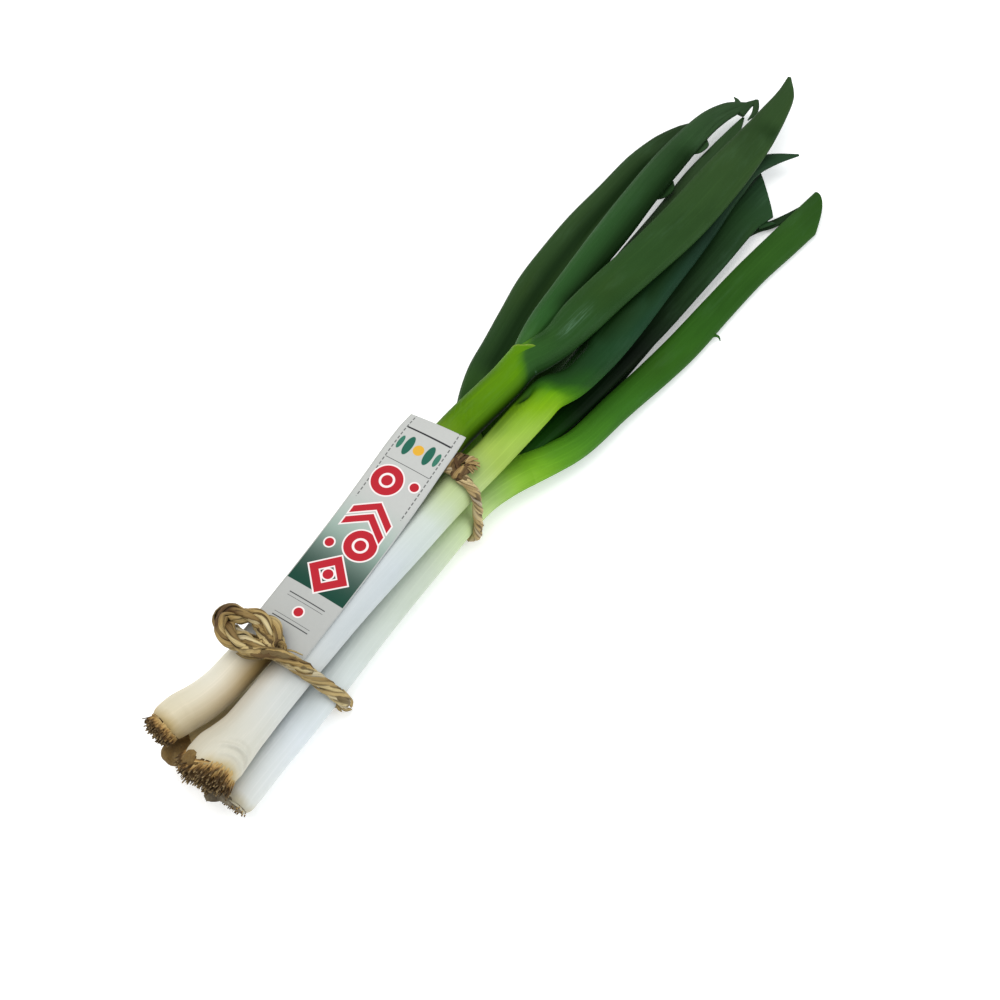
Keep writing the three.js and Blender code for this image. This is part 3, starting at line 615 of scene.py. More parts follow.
class Look:
    """One material: a Principled shader and the nodes that feed it."""

    def __init__(self, name, **uniform):
        self.material = bpy.data.materials.new(name)
        self.material.use_nodes = True
        self.tree = self.material.node_tree
        self.tree.nodes.clear()
        self.shader = self.tree.nodes.new("ShaderNodeBsdfPrincipled")
        output = self.tree.nodes.new("ShaderNodeOutputMaterial")
        self.tree.links.new(self.shader.outputs[0], output.inputs[0])
        for socket, value in uniform.items():
            self.shader.inputs[socket.replace("_", " ")].default_value = value

    def node(self, kind, settings=None, inputs=None, output=0):
        made = self.tree.nodes.new(kind)
        for key, value in (settings or {}).items():
            if key == "stops":
                elements = made.color_ramp.elements
                while len(elements) < len(value):
                    elements.new(1.0)
                for element, (position, colour) in zip(elements, value):
                    element.position = position
                    element.color = (*colour, 1.0)
            else:
                setattr(made, key, value)
        for key, value in (inputs or {}).items():
            self.feed(made.inputs[key], value)
        return Wire(self, made.outputs[output])

    def split(self, vector, axis):
        return self.node("ShaderNodeSeparateXYZ", {}, {0: vector}, axis)

    def most(self, first, second):
        return first.maths("MAXIMUM", first, second)

    def wave(self, value, length):
        """0 to 1 and back once in each length."""
        angle = value * (2 * math.pi / length)
        return angle.maths("SINE", angle) * 0.5 + 0.5

    def feed(self, socket, value):
        if isinstance(value, Wire):
            self.tree.links.new(value.socket, socket)
        elif socket.type == "RGBA" and len(value) == 3:
            socket.default_value = (*value, 1.0)
        else:
            socket.default_value = value

    def set(self, socket, value):
        self.feed(self.shader.inputs[socket], value)

    def field(self, name, output="Fac"):
        return self.node("ShaderNodeAttribute", {"attribute_name": name}, output=output)

    def noise(self, vector, stretch, detail, roughness=0.5):
        """Noise over a place in metres; stretch says how finely it varies along each axis."""
        scaled = self.node("ShaderNodeVectorMath", {"operation": "MULTIPLY"}, {0: vector, 1: stretch})
        inputs = {"Vector": scaled, "Scale": 1.0, "Detail": detail, "Roughness": roughness}
        return self.node("ShaderNodeTexNoise", {}, inputs, "Fac")

    def ramp(self, value, stops):
        settings = {"stops": stops}
        return self.node("ShaderNodeValToRGB", settings, {"Fac": value}, "Color")

    def mix(self, factor, first, second, blend="MIX"):
        settings = {"data_type": "RGBA", "blend_type": blend}
        return self.node("ShaderNodeMix", settings, {0: factor, 6: first, 7: second}, 2)

    def bump(self, height, distance, strength):
        inputs = {"Height": height, "Distance": distance, "Strength": strength}
        self.set("Normal", self.node("ShaderNodeBump", {}, inputs, "Normal"))


def srgb(red, green, blue):
    """A colour as painted on a 0 to 255 chart, in linear light."""
    parts = []
    for value in (red, green, blue):
        v = value / 255
        parts.append(v / 12.92 if v <= 0.04045 else ((v + 0.055) / 1.055) ** 2.4)
    return tuple(parts)


INK = srgb(40, 42, 44)
PALE_INK = srgb(232, 222, 220)
BENCH_LENGTH = 0.66  # metres covered by the growth ramps
GREEN_FROM, GREEN_FULL = 0.19, 0.25  # metres along it, where white flesh has turned to green
# Brown for earth stains on white flesh; the same marks also serve as painted shade there.
EARTH_AND_SHADE = srgb(164, 132, 66)
# Painted shade on green flesh.
SHADE_GREEN = srgb(12, 38, 6)


def growth_stops(*pairs):
    """Ramp stops from pairs of a place along the bench in mm and a chart colour."""
    return [(x * MM / BENCH_LENGTH, srgb(*colour)) for x, colour in pairs]


# ------------------------------------------------------------------ looks of the onion
STEM_STOPS = {
    "a": growth_stops(
        (7, (150, 126, 82)), (10, (178, 158, 114)), (15, (210, 200, 174)), (40, (222, 217, 202)),
        (110, (208, 203, 184)), (200, (186, 194, 140)), (228, (118, 148, 36)), (250, (86, 128, 0)),
        (298, (84, 130, 0)), (304, (70, 118, 8)), (310, (42, 82, 30)), (330, (38, 72, 30)),
        (380, (37, 69, 28)), (525, (46, 72, 34)), (640, (46, 70, 36)),
    ),
    "b": growth_stops(
        (6, (150, 126, 84)), (9, (184, 166, 124)), (14, (203, 198, 182)), (50, (203, 204, 200)),
        (100, (192, 196, 197)), (150, (196, 202, 205)), (185, (196, 204, 196)), (205, (182, 196, 150)),
        (242, (162, 186, 86)), (264, (146, 180, 64)), (284, (120, 163, 16)), (298, (98, 148, 6)),
        (305, (58, 110, 6)), (314, (34, 76, 22)), (334, (28, 63, 30)), (380, (27, 62, 38)),
        (475, (22, 46, 32)), (540, (30, 56, 34)), (590, (40, 66, 42)),
    ),
    "c": growth_stops(
        (2, (186, 178, 154)), (8, (210, 211, 207)), (50, (210, 215, 219)), (111, (198, 204, 198)),
        (171, (190, 199, 180)), (196, (188, 203, 162)), (216, (190, 210, 144)), (233, (160, 189, 112)),
        (252, (140, 184, 62)), (264, (116, 166, 36)), (280, (86, 140, 28)), (300, (68, 121, 28)),
        (330, (54, 104, 26)), (376, (46, 94, 20)), (440, (42, 83, 22)), (560, (44, 81, 26)),
    ),
    "d": growth_stops(
        (4, (176, 152, 100)), (14, (204, 190, 150)), (60, (216, 210, 190)), (120, (208, 206, 188)),
        (210, (186, 200, 152)), (245, (110, 150, 40)), (275, (48, 84, 24)), (310, (34, 62, 26)),
        (450, (46, 72, 35)), (580, (38, 60, 31)),
    ),
}
INNER_STOPS = {
    "a2": growth_stops(
        (310, (52, 92, 34)), (340, (42, 84, 36)), (450, (42, 79, 37)), (600, (46, 69, 41)),
    ),
    "d2": growth_stops(
        (290, (48, 80, 10)), (330, (34, 62, 22)), (440, (58, 80, 48)), (600, (46, 72, 40)),
    ),
    # c2 turns near-black from about 300 to 430 mm: painted shade where it runs under the other leaves.
    "c2": growth_stops(
        (250, (36, 66, 10)), (280, (20, 64, 4)), (300, (13, 48, 2)), (320, (6, 28, 3)),
        (376, (6, 16, 5)), (430, (22, 44, 19)), (520, (34, 63, 32)), (550, (38, 66, 41)),
    ),
    "c3": growth_stops((250, (50, 90, 20)), (300, (24, 44, 18)), (560, (28, 50, 24))),
}


def flesh_look(name, stops, greenness=None):
    """Onion flesh: ribs and fibres along it, wax bloom and blotches where it is green.

    A greenness of None lets the flesh turn green at the neck, and 1 is a leaf that is green all over.
    """
    look = Look(name, IOR=1.4, Specular_IOR_Level=0.1, Coat_Roughness=0.3, Coat_IOR=1.4)
    lay = look.field("lay", "Vector")
    grow = look.field("grow")
    edge = look.field("edge")
    tone = look.field("tone")
    drift = look.noise(lay, (90, 90, 30), detail=2)
    place = (grow + (drift - 0.5) * 0.01) / BENCH_LENGTH
    colour = look.ramp(place, stops)
    fibres = look.noise(lay, (900, 900, 9), detail=3, roughness=0.6)
    ribs = look.noise(lay, (330, 330, 3.5), detail=2)
    blotch = look.noise(lay, (42, 42, 15), detail=3)
    green = grow.step(GREEN_FROM, GREEN_FULL) if greenness is None else greenness
    streak = look.mix((fibres - 0.5).step(-0.02, 0.22), (0.86, 0.88, 0.84), (1.08, 1.06, 1.04))
    colour = look.mix(0.3 + 0.4 * green, colour, streak, "MULTIPLY")
    darker = look.mix(blotch.step(0.42, 0.7), (1.04, 1.04, 1.04), (0.76, 0.8, 0.74))
    colour = look.mix(0.25 + 0.45 * green, colour, darker, "MULTIPLY")
    olive = look.noise(lay, (30, 30, 9), detail=2).step(0.5, 0.72) * green
    colour = look.mix(0.3 * olive, colour, srgb(52, 74, 24))
    bloom = look.noise(lay, (120, 120, 20), detail=4, roughness=0.62).step(0.5, 0.8) * green * 0.07
    colour = look.mix(bloom, colour, srgb(110, 150, 120))
    wax_and_highlight = (PLAIN - tone).step(0.05, 0.4)
    lines = look.noise(lay, (1500, 1500, 16), detail=3, roughness=0.6).step(0.5, 0.62)
    # Pale waxy streaks, and a painted highlight on a1's shoulder.
    colour = look.mix(wax_and_highlight * (lines * 0.6 + 0.06), colour, srgb(120, 160, 132))
    # Above plain tone: earth stain and painted shade on white flesh, painted shade on green flesh.
    stain_and_shade = look.mix(green, EARTH_AND_SHADE, SHADE_GREEN)
    colour = look.mix((tone - PLAIN) * 2, colour, stain_and_shade)
    colour = look.mix(edge, colour, srgb(136, 162, 60))
    look.set("Base Color", colour)
    look.set("Roughness", 0.4 + ribs * 0.14 + green * 0.08)
    look.set("Coat Weight", (1 - green) * 0.22 + wax_and_highlight * 0.5)
    look.bump(ribs * 0.7 + fibres * 0.3, distance=0.00035, strength=0.6)
    return look.material


def root_look():
    """Cut roots with pale ends over a dark plate; from the rusty tone up it is smooth dried skin."""
    look = Look("clipped_roots", IOR=1.4, Specular_IOR_Level=0.2)
    lay = look.field("lay", "Vector")
    tip = look.field("edge")
    tone = look.field("tone")
    grain = look.noise(lay, (700, 900, 900), detail=3, roughness=0.65)
    patches = look.noise(lay, (190, 190, 190), detail=2)
    colour = look.ramp(
        tip + (grain - 0.5) * 0.3 + (patches - 0.5) * 0.3,
        [
            (0.0, srgb(192, 166, 112)), (0.3, srgb(172, 136, 82)), (0.6, srgb(96, 72, 42)),
            (0.84, srgb(84, 66, 42)), (1.0, srgb(150, 128, 90)),
        ],
    )
    colour = look.mix(tone.step(0.45, 1.0) * 0.7, colour, srgb(46, 32, 20))
    rusty = look.mix(patches.step(0.35, 0.65), srgb(112, 86, 46), srgb(132, 108, 66))
    grey = look.mix(patches.step(0.35, 0.65), srgb(104, 94, 78), srgb(140, 130, 110))
    skin = look.mix((tone - RUSTY).step(0.0, 1.0), rusty, grey)
    skin = look.mix(grain.step(0.3, 0.7) * 0.4, skin, srgb(84, 70, 50))
    colour = look.mix(tone.step(1.2, 1.8), colour, skin)
    look.set("Base Color", colour)
    look.set("Roughness", 0.72 + grain * 0.25)
    look.bump(grain, distance=0.0006, strength=0.9)
    return look.material


def straw_look(name, light, dark):
    """Dry straw: each one its own brown, with fibres along it, scars, and painted shade on its rims."""
    look = Look(name, IOR=1.45, Specular_IOR_Level=0.25)
    lay = look.field("lay", "Vector")
    tone = look.field("tone")
    rim = look.field("edge")
    fibres = look.noise(lay, (1500, 1500, 30), detail=3, roughness=0.65)
    patches = look.noise(lay, (60, 60, 40), detail=3, roughness=0.6)
    scars = look.noise(lay, (700, 700, 190), detail=3, roughness=0.7)
    middle = tuple(0.5 * (a + b) * warm for a, b, warm in zip(light, dark, (1.1, 0.98, 0.74)))
    pale = tuple(c * faded for c, faded in zip(light, (0.9, 0.96, 1.3)))
    colour = look.ramp(
        tone * 0.64 + patches * 0.56 - 0.2, [(0.0, dark), (0.4, middle), (0.78, light), (1.0, pale)]
    )
    lines = look.mix(fibres.step(0.36, 0.6), (0.64, 0.61, 0.54), (1.1, 1.12, 1.1))
    colour = look.mix(0.8, colour, lines, "MULTIPLY")
    colour = look.mix(scars.step(0.6, 0.74) * 0.5, colour, srgb(66, 44, 24))
    # Painted shade along each straw's rims and inner face and over a strand's core, where straws press
    # together.
    colour = look.mix(rim * 0.7, colour, srgb(52, 36, 20))
    look.set("Base Color", colour)
    look.set("Roughness", 0.5 + fibres * 0.3)
    look.bump(fibres, distance=0.0007, strength=0.9)
    return look.material


def motif_outline(look, kind, x, y, size):
    """How many mm a place x, y from a motif's middle lies outside its inked shape."""
    if kind == "lozenge":
        return abs(abs(x) + abs(y) - size * 0.82) * 0.72 - size * 0.2
    if kind == "chevron":
        return look.most(abs(abs(x) + y * 1.4) * 0.6 - size * 0.16, abs(x) - size)
    off = (x * x + y * y) ** 0.5
    if kind == "ring":
        return abs(off - size * 0.72) - size * 0.24
    return off - size * 0.34


def label_look(colours):
    """Paper with a generic print: a fading green panel, red motifs with pale rims, thin rules."""
    look = Look("label_paper", IOR=1.45, Specular_IOR_Level=0.16)
    lay = look.field("lay", "Vector")
    print_side = look.field("edge")
    across = look.split(lay, 0) * (1 / MM)
    along = look.split(lay, 2) * (1 / MM)
    paper, green, red = (tuple(c) for c in (colours.paper, colours.print_green, colours.print_red))
    mottle = look.noise(lay, (400, 400, 400), detail=4, roughness=0.6)
    # Painted shade: the paper is darker toward its end under the lower tie and its loop.
    shaded_paper = look.mix(along.step(10, 110), tuple(0.84 * c for c in paper), paper)
    colour = look.mix(mottle * 0.08, shaded_paper, (0, 0, 0))

    fade = (along - PANEL_START).step(PANEL_FADE, 0)
    panel = (along - PANEL_START).step(-0.1, 0.1) * fade
    inside = (abs(across) - PANEL_HALF).step(0.1, -0.1)
    mint = look.mix(fade.step(0.1, 0.9), srgb(104, 158, 136), green)
    colour = look.mix((panel * inside) ** 0.7, colour, mint)
    for place, half, thick in RULES:
        rule = (abs(along - place) - thick / 2).step(0.12, -0.12) * (abs(across) - half).step(0.1, -0.1)
        colour = look.mix(rule, colour, INK)
    dash = look.wave(along, DASH).step(0.2, 0.35)
    for side in (-1, 1):
        dashed = (abs(across - side * DASHED_AT) - DASHED_HALF).step(0.12, -0.12) * dash
        colour = look.mix(dashed * (along - DASHED_FROM).step(-0.2, 0.2) * 0.8, colour, INK)
    for kind, u, v, size in MOTIFS:
        body = motif_outline(look, kind, across - u, along - v, size)
        colour = look.mix((body - MOTIF_RIM).step(0.1, -0.1) * print_side, colour, PALE_INK)
        colour = look.mix(body.step(0.1, -0.1) * print_side, colour, red)
    for u, v, half, tall, tint in OVALS:
        off = (((across - u) / half) ** 2 + ((along - v) / tall) ** 2) ** 0.5
        colour = look.mix((off - 1).step(0.05, -0.05), colour, srgb(*tint))
    colour = look.mix(print_side, look.mix(mottle, paper, tuple(0.93 * c for c in paper)), colour)
    look.set("Base Color", colour)
    look.set("Roughness", 0.42 + mottle * 0.12)
    look.bump(mottle, distance=0.00012, strength=0.5)
    return look.material


# ------------------------------------------------------------------ builders
def onion_rows(letter):
    """A stem's rows and, past its neck, those of the leaf that carries it on."""
    return STEMS[letter] + MAIN_LEAVES[letter]


def neck_of(letter):
    return STEMS[letter][-1][0]


def leafiness(x, neck):
    """0 on the stem, 1 on the leaf, and between them round the neck."""
    return ease(x, neck - 25, neck + 35)


def square_of(centre_x, neck):
    """Round stems pass into fuller, flatter leaves just past the neck."""
    return 1 - 0.1 * ease(centre_x, neck, neck + 30)


def relief(seed, run, angles, leafy, sizes):
    """Soft unevenness and fine ribs of the flesh in mm; `leafy`, 0 to 1, makes them deeper."""
    rng = np.random.default_rng(seed)
    height = waves(rng, run, angles, count=8, longest=170, most_round=2) * (0.13 + 0.12 * leafy)
    for ribs in (13, 23, 37):
        phase = rng.uniform(0, 6.28) + np.sin(run / 60 + ribs)
        height = height + np.sin(ribs * angles + phase) * (0.02 + 0.03 * leafy)
    return height * sizes.unevenness


def ring_folds(letter, x, angles):
    """Low curved wrinkles where an outer skin was pulled off near the root end."""
    height = 0
    for at, middle, spread, sag, rise in RING_FOLDS.get(letter, ()):
        turn = spreads_off(angles, middle, spread)
        off = (x - at + sag * turn**2) / 1.2
        ridge = bell(off) - 0.5 * bell(off - 1.8)
        height = height + rise * ridge * np.exp(-((turn / 1.1) ** 4))
    return height


def wrinkles(name, x, angles, half):
    """Fine slanting wrinkles pressed into a sheath, in mm; half is the tube's half width."""
    height = 0
    for at, middle, along, round_reach, pitch, slant, rise in WRINKLES.get(name, ()):
        u = x - at
        v = turn_from(middle, angles) * half
        lean = math.radians(slant)
        phase = (u * math.cos(lean) + v * math.sin(lean)) * 2 * math.pi / pitch + 0.8 * np.sin(v * 0.7)
        patch = np.exp(-((u / along) ** 2) - (v / round_reach) ** 2)
        height = height + rise * (np.sin(phase) + 0.4 * np.sin(1.7 * phase + 1)) * patch
    return height


def streaks(marks, x, angles, fade):
    """0 to 1: how near each point is to the middle of the marks that run along a leaf."""
    amount = 0 * x * angles
    for start, end, middle, spread, strength in marks:
        soft = min(fade, 0.5 * (end - start))
        ends = ease(x, start, start + soft) * (1 - ease(x, end - soft, end))
        amount = np.maximum(amount, strength * ends * bell(spreads_off(angles, middle, spread)))
    return amount


def creases(name, x, angles):
    """Long dents pressed into a leaf, in mm: they start softly and end more sharply."""
    depth = 0
    for start, end, first, last, spread, deep in CREASES.get(name, ()):
        share = np.clip((x - start) / (end - start), 0, 1)
        turn = turn_from(first + (last - first) * share, angles) / math.radians(spread)
        fade = min(25, 0.5 * (end - start))
        ends = ease(x, start, start + fade) * (1 - ease(x, end - min(fade, 12), end))
        depth = depth + deep * ends * bell(turn)
    return depth


def roots_reach(letter, turn):
    """How far up the stem the roots grow at each place round it, in mm."""
    middle, spread = FULLEST[letter]
    return TUFTS[letter].depth * (0.12 + 0.88 * bell(turn_from(middle, turn) / math.radians(spread)))


def drawn_out(letter, turn):
    """How far the stem's base grows out past its end at each place round it, in mm."""
    reach, middle, spread = DRAWN_OUT[letter]
    return reach * bell(turn_from(middle, turn) / math.radians(spread))


def green_place(letter, x, angles):
    """Where along its growth each point of a stem or main leaf is: x, slanted round the neck.

    Near the root end, flesh that the roots leave bare counts as further up.
    """
    neck = neck_of(letter)
    near = ease(x, neck - 65, neck - 35) * (1 - ease(x, neck + 25, neck + 80))
    bare = (TUFTS[letter].depth - roots_reach(letter, angles)) * (1 - ease(x, 10, 30))
    return x + bare - SLANTS[letter] * near * np.cos(angles - math.radians(RIGHT_SIDE))


def stem_piece(letter, sizes):
    """A stem from its root end to its neck."""
    neck = neck_of(letter)
    stations = Stations(onion_rows(letter), STEM_STEP, 0, neck)
    run, x = stations.run[:, None], stations.centre[:, :1]
    bumps = relief(ord(letter), run, ROUND, leafiness(x, neck), sizes)
    bumps = bumps + ring_folds(letter, x, ROUND) - 1.6 * bell(run / TUCK_REACH)
    bumps = bumps + wrinkles(letter, x, ROUND, stations.width[:, None] / 2) - creases(letter, x, ROUND)
    points, lay = stations.surface(ROUND, square_of(x, neck), bumps)
    slide = drawn_out(letter, ROUND) * (1 - ease(run, 0, DRAWN_BACK))
    points = points - slide[..., None] * stations.along[:, None]
    # This mark is partly earth stain and partly painted shade on the stem's shaded side.
    angle, spread, middle, reach, strength = STAINS_AND_SHADE[letter]
    tone = PLAIN + bell(spreads_off(ROUND, angle, spread)) * bell((x - middle) / reach) * strength
    # Painted shade bands along the neck.
    tone = tone + streaks(SHADES.get(letter, ()), x, ROUND, SHADE_FADE)
    piece = Piece()
    piece.add(points, lay, grow=green_place(letter, x, ROUND), tone=tone)
    if letter == "a":
        sheath_lip(piece)
    return piece


def sheath_lip(piece):
    """The mouth of onion a's sheath: a thin lip standing round the younger leaf's base.

    It is a sheet folded over at its brink. Each place on it lies just outside the stem or the
    younger leaf, whichever is further out from the stem's middle line.
    """
    turn = np.radians(np.linspace(-35, 92, 60))[:, None]
    steps = 12
    along = np.concatenate([np.linspace(0, 1, steps), np.linspace(1, 0, steps)])[None]
    upper = np.arange(2 * steps)[None] < steps
    foot = 300
    mouth = 312.6 + 6.4 * ease(turn, math.radians(12), math.radians(84))
    x = foot + (mouth - foot) * along

    def section(rows):
        path = Stations(rows, FLAP_STEP)
        values = (path.centre[:, 1], path.centre[:, 2], path.width / 2, path.height / 2)
        return [np.interp(x, path.centre[:, 0], value) for value in values]

    y, z, half, tall = section(onion_rows("a"))
    leaf_y, leaf_z, leaf_half, leaf_tall = section(INNER_LEAVES["a2"])
    c, s = np.cos(turn), np.sin(turn)
    stem_radius = 1 / np.sqrt((c / half) ** 2 + (s / tall) ** 2)
    # The ray from the stem's middle meets the leaf's oval where a quadratic has its larger root.
    dy, dz = (leaf_y - y) / leaf_half, (leaf_z - z) / leaf_tall
    p, q = c / leaf_half, s / leaf_tall
    b = p * dy + q * dz
    inside = b * b - (p * p + q * q) * (dy * dy + dz * dz - 1)
    leaf_radius = np.where(inside > 0, (b + np.sqrt(np.maximum(inside, 0))) / (p * p + q * q), 0)
    blend = 10
    radius = (stem_radius**blend + np.maximum(leaf_radius, 0) ** blend) ** (1 / blend)
    fade = ease(turn, turn[0, 0], turn[0, 0] + 0.5) * (1 - ease(turn, turn[-1, 0] - 0.4, turn[-1, 0]))
    lift = np.where(upper, -0.1 + 0.75 * along**2, -0.7 + 0.55 * along**2) * fade - 0.35 * (1 - fade)
    radius = radius + lift
    points = np.stack([np.broadcast_to(x, radius.shape), y + radius * c, z + radius * s], -1)
    lay = np.stack([radius * c, radius * s, x - 6 + 0 * radius], -1)
    piece.add(points, lay, grow=x - 16 + 0 * radius, edge=0.9 * ease(along, 0.86, 1) * fade)


def leaf_piece(name, sizes):
    """A leaf with its torn points, and its hollow cut end where it was trimmed."""
    letter = name[0]
    younger = name in INNER_LEAVES
    if younger:
        stations = Stations(INNER_LEAVES[name], LEAF_STEP)
        seed, neck, leafy = sum(map(ord, name)) * 7, stations.centre[0, 0] - 40, 1.0
    else:
        neck = neck_of(letter)
        stations = Stations(onion_rows(letter), LEAF_STEP, neck)
        seed, leafy = ord(letter), leafiness(stations.centre[:, :1], neck)
    run, x = stations.run[:, None], stations.centre[:, :1]
    slim = np.minimum(1, stations.width[:, None] / 20)
    bumps = relief(seed, run, ROUND, leafy, sizes) * slim
    bumps = bumps + wrinkles(name, x, ROUND, stations.width[:, None] / 2) - creases(name, x, ROUND)
    points, lay = stations.surface(ROUND, square_of(stations.centre[:, 0], neck), bumps)
    grow = x + 0 * ROUND if younger else green_place(letter, x, ROUND)
    waxy_and_highlight = streaks(WAX_AND_HIGHLIGHT.get(name, ()), x, ROUND, WAX_AND_HIGHLIGHT_FADE)
    # Painted shade bands raise the tone; waxy streaks and a1's painted highlight lower it.
    tone = PLAIN - 0.45 * waxy_and_highlight + streaks(SHADES.get(name, ()), x, ROUND, SHADE_FADE)
    piece = Piece()
    for rows in TEARS.get(name, ()):
        piece.add(*Stations(rows, FLAP_STEP).surface(circle(12)))
    if name not in CUTS:
        piece.add(points, lay, grow=grow, tone=tone)
        return piece
    points = trimmed(points, stations, *CUTS[name])
    inner = hollow(points[-1], stations)
    grid = np.concatenate([points, inner])
    edge = np.zeros(grid.shape[:2])
    edge[len(points) - 1 : len(points) + 2] = 0.35
    lay = np.concatenate([lay, np.repeat(lay[-1:], len(inner), axis=0)])
    piece.add(grid, lay, edge=edge)
    return piece


def trimmed(points, stations, past, lean, rounding):
    """Slides the last rings on to a slanted or rounded cut through the leaf's end."""
    reach = 30
    off = (points[-1] - stations.centre[-1]) @ stations.side[-1]
    step = past + lean * off - rounding * (stations.width[-1] / 2 - off) ** 2
    moved = points.copy()
    for i in np.flatnonzero(stations.run > stations.run[-1] - reach):
        share = 1 - (stations.run[-1] - stations.run[i]) / reach
        moved[i] += (step * share)[:, None] * stations.along[i]
    return moved


def hollow(cut, stations):
    """Rings that run over the wall of a cut end and down into the leaf's hollow."""
    middle = cut.mean(0)
    wall = 1 - 2 * LEAF_WALL / stations.height[-1]
    rings = []
    for back, share in ((0, (1 + wall) / 2), (0, wall), (3, wall), (9, wall * 0.8), (16, wall * 0.3)):
        rings.append(middle + (cut - middle) * share - stations.along[-1] * back)
    return np.array(rings)


class RootEnd:
    """The end of a stem that its roots grow from."""

    def __init__(self, letter):
        self.letter = letter
        self.tuft = TUFTS[letter]
        self.stations = Stations(STEMS[letter], 0.5)
        self.centre, self.along = self.stations.centre[0], self.stations.along[0]

    def spoke(self, turn):
        """The way out from the middle at each turn."""
        side, top = self.stations.side[0], self.stations.top[0]
        return np.cos(turn)[..., None] * side + np.sin(turn)[..., None] * top

    def radius_at(self, back):
        return np.interp(back, self.stations.run, self.stations.width) / 2


def roots_piece(letter, sizes):
    """Clipped roots standing on a domed plate at the stem's end."""
    rng = np.random.default_rng(ord(letter) * 3)
    end = RootEnd(letter)
    piece = Piece()
    root_plate(piece, rng, end)
    for i in range(end.tuft.inside + end.tuft.at_rim):
        cut_root(piece, rng, end, i, sizes)
    for rows in DRY_SKIN.get(letter, ()):
        flap = Stations(rows, FLAP_STEP)
        around = circle(40)
        crumple = 0.5 * waves(rng, flap.run[:, None], around, count=6, longest=14, most_round=5)
        points, _ = flap.surface(around, relief=crumple)
        piece.add(points, tone=max(end.tuft.plate, RUSTY), edge=0.7)
    return piece


def root_plate(piece, rng, end):
    """The rough dome that the roots stand on; its last ring sinks into the stem."""
    turns = circle(72)
    lumps = waves(rng, 0 * turns, turns, count=5, longest=10, most_round=7)
    rings = []
    for share in np.linspace(0.04, 1, 18):
        back = end.tuft.depth * share**3
        inner = share < 1
        rough = inner * (rng.uniform(-0.25, 0.25, turns.shape) + 0.35 * lumps * share)
        radius = (end.radius_at(back) - 1.2 * bell(back / TUCK_REACH)) * share**0.6 + rough
        if not inner:
            radius = end.radius_at(back) - 0.9 + np.zeros(turns.shape)
            back = roots_reach(end.letter, turns) + 0.4 * lumps
        dome = end.tuft.bulge * (1 - share**2)
        out = np.reshape(back - dome - share * drawn_out(end.letter, turns), (-1, 1))
        rings.append(end.centre + end.along * out + radius[:, None] * end.spoke(turns))
    first = np.arange(len(rings))[:, None] == 0
    edge = np.where(first, 0.1, 0.7)
    tone = np.where(first & (end.tuft.plate < RUSTY), 0.3, end.tuft.plate)
    piece.add(np.array(rings)[::-1], edge=edge, tone=tone, caps=(False, True))


def cut_root(piece, rng, end, i, sizes):
    """One root: those at the rim are short and lie close, those inside stand out of the plate."""
    tuft = end.tuft
    rim = i >= tuft.inside
    if rim:
        reach = 1.0
        turn = np.array(2 * math.pi * (i - tuft.inside + rng.uniform(-0.3, 0.3)) / tuft.at_rim)
        back = roots_reach(end.letter, turn) * rng.uniform(0.4, 1.1)
        run = rng.uniform(2.4, 5.0)
        thick = rng.uniform(0.4, 0.75)
    else:
        reach = math.sqrt((i + 0.5) / tuft.inside)
        turn = np.array(i * GOLDEN_TURN + rng.uniform(-0.4, 0.4))
        back = tuft.depth * max(0, (reach - 0.45) / 0.55) ** 1.6
        run = tuft.length * rng.uniform(0.82, 1.1) * sizes.root_length
        thick = tuft.thickness * rng.uniform(0.6, 1.2)
    outward = end.spoke(turn)
    back = back - reach * drawn_out(end.letter, turn) - (0.1 if rim else 0.8)
    radius = (end.radius_at(max(0, back)) - 0.5) * min(1, reach + 0.06)
    foot = end.centre + end.along * back + outward * radius
    lean = 0.12 if rim else tuft.splay * sizes.root_splay * reach * rng.uniform(0.6, 1.2)
    aim = unit(-end.along + outward * lean + rng.normal(0, 0.1, 3))
    bend = unit(rng.normal(0, 1, 3)) * run * rng.uniform(0.05, 0.25)
    across = unit(np.cross(aim, (0.1, 0.2, 1)))
    over = np.cross(aim, across)
    around = circle(7)
    ring = np.cos(around)[:, None] * across + np.sin(around)[:, None] * over
    rings = []
    for u in ROOT_STEPS:
        size = thick * (1 - 0.25 * u) * (0.55 if u == 1 else 1) * rng.uniform(0.9, 1.1)
        rings.append(foot + aim * run * u + bend * u * u + size * ring)
    tip = np.clip(ROOT_STEPS, 0, 1)[:, None] * (rng.uniform(0.3, 0.9) if rim else 1.0)
    piece.add(np.array(rings), tone=rng.uniform(0, 0.45 if rim else 0.9), edge=tip)


def outline_of(points):
    """The closed outline drawn tight round a cloud of points in a plane."""

    def half(points):
        chain = []
        for p in points:
            while len(chain) > 1:
                (ax, ay), (bx, by) = chain[-2], chain[-1]
                if (bx - ax) * (p[1] - ay) - (by - ay) * (p[0] - ax) > 0:
                    break
                chain.pop()
            chain.append(p)
        return chain[:-1]

    points = sorted(points)
    return np.array(half(points) + half(points[::-1]))


def hull_path(which, extra=()):
    """Closed line of a tie drawn round the stems' outline, then carried along to its places."""
    dots = []
    for rows in STEMS.values():
        stations = Stations(rows, 1)
        i = int(np.abs(stations.centre[:, 0] - TIE_SECTION[which]).argmin())
        radius = max(stations.width[i], stations.height[i]) / 2
        dots.append((stations.centre[i, 1], stations.centre[i, 2], radius))
    cloud = []
    for y, z, radius in (*dots, *extra):
        far = radius + TIE_LIFT
        cloud += [(y + far * math.cos(a), z + far * math.sin(a)) for a in circle(72)]
    y, z = outline_of(cloud).T
    turned = np.degrees(np.arctan2(z - BUNCH_MIDDLE[1], y - BUNCH_MIDDLE[0])) % 360
    angles, places = zip(*TIE_PLACES[which])
    return np.column_stack([np.interp(turned, angles, places, period=360), y, z])


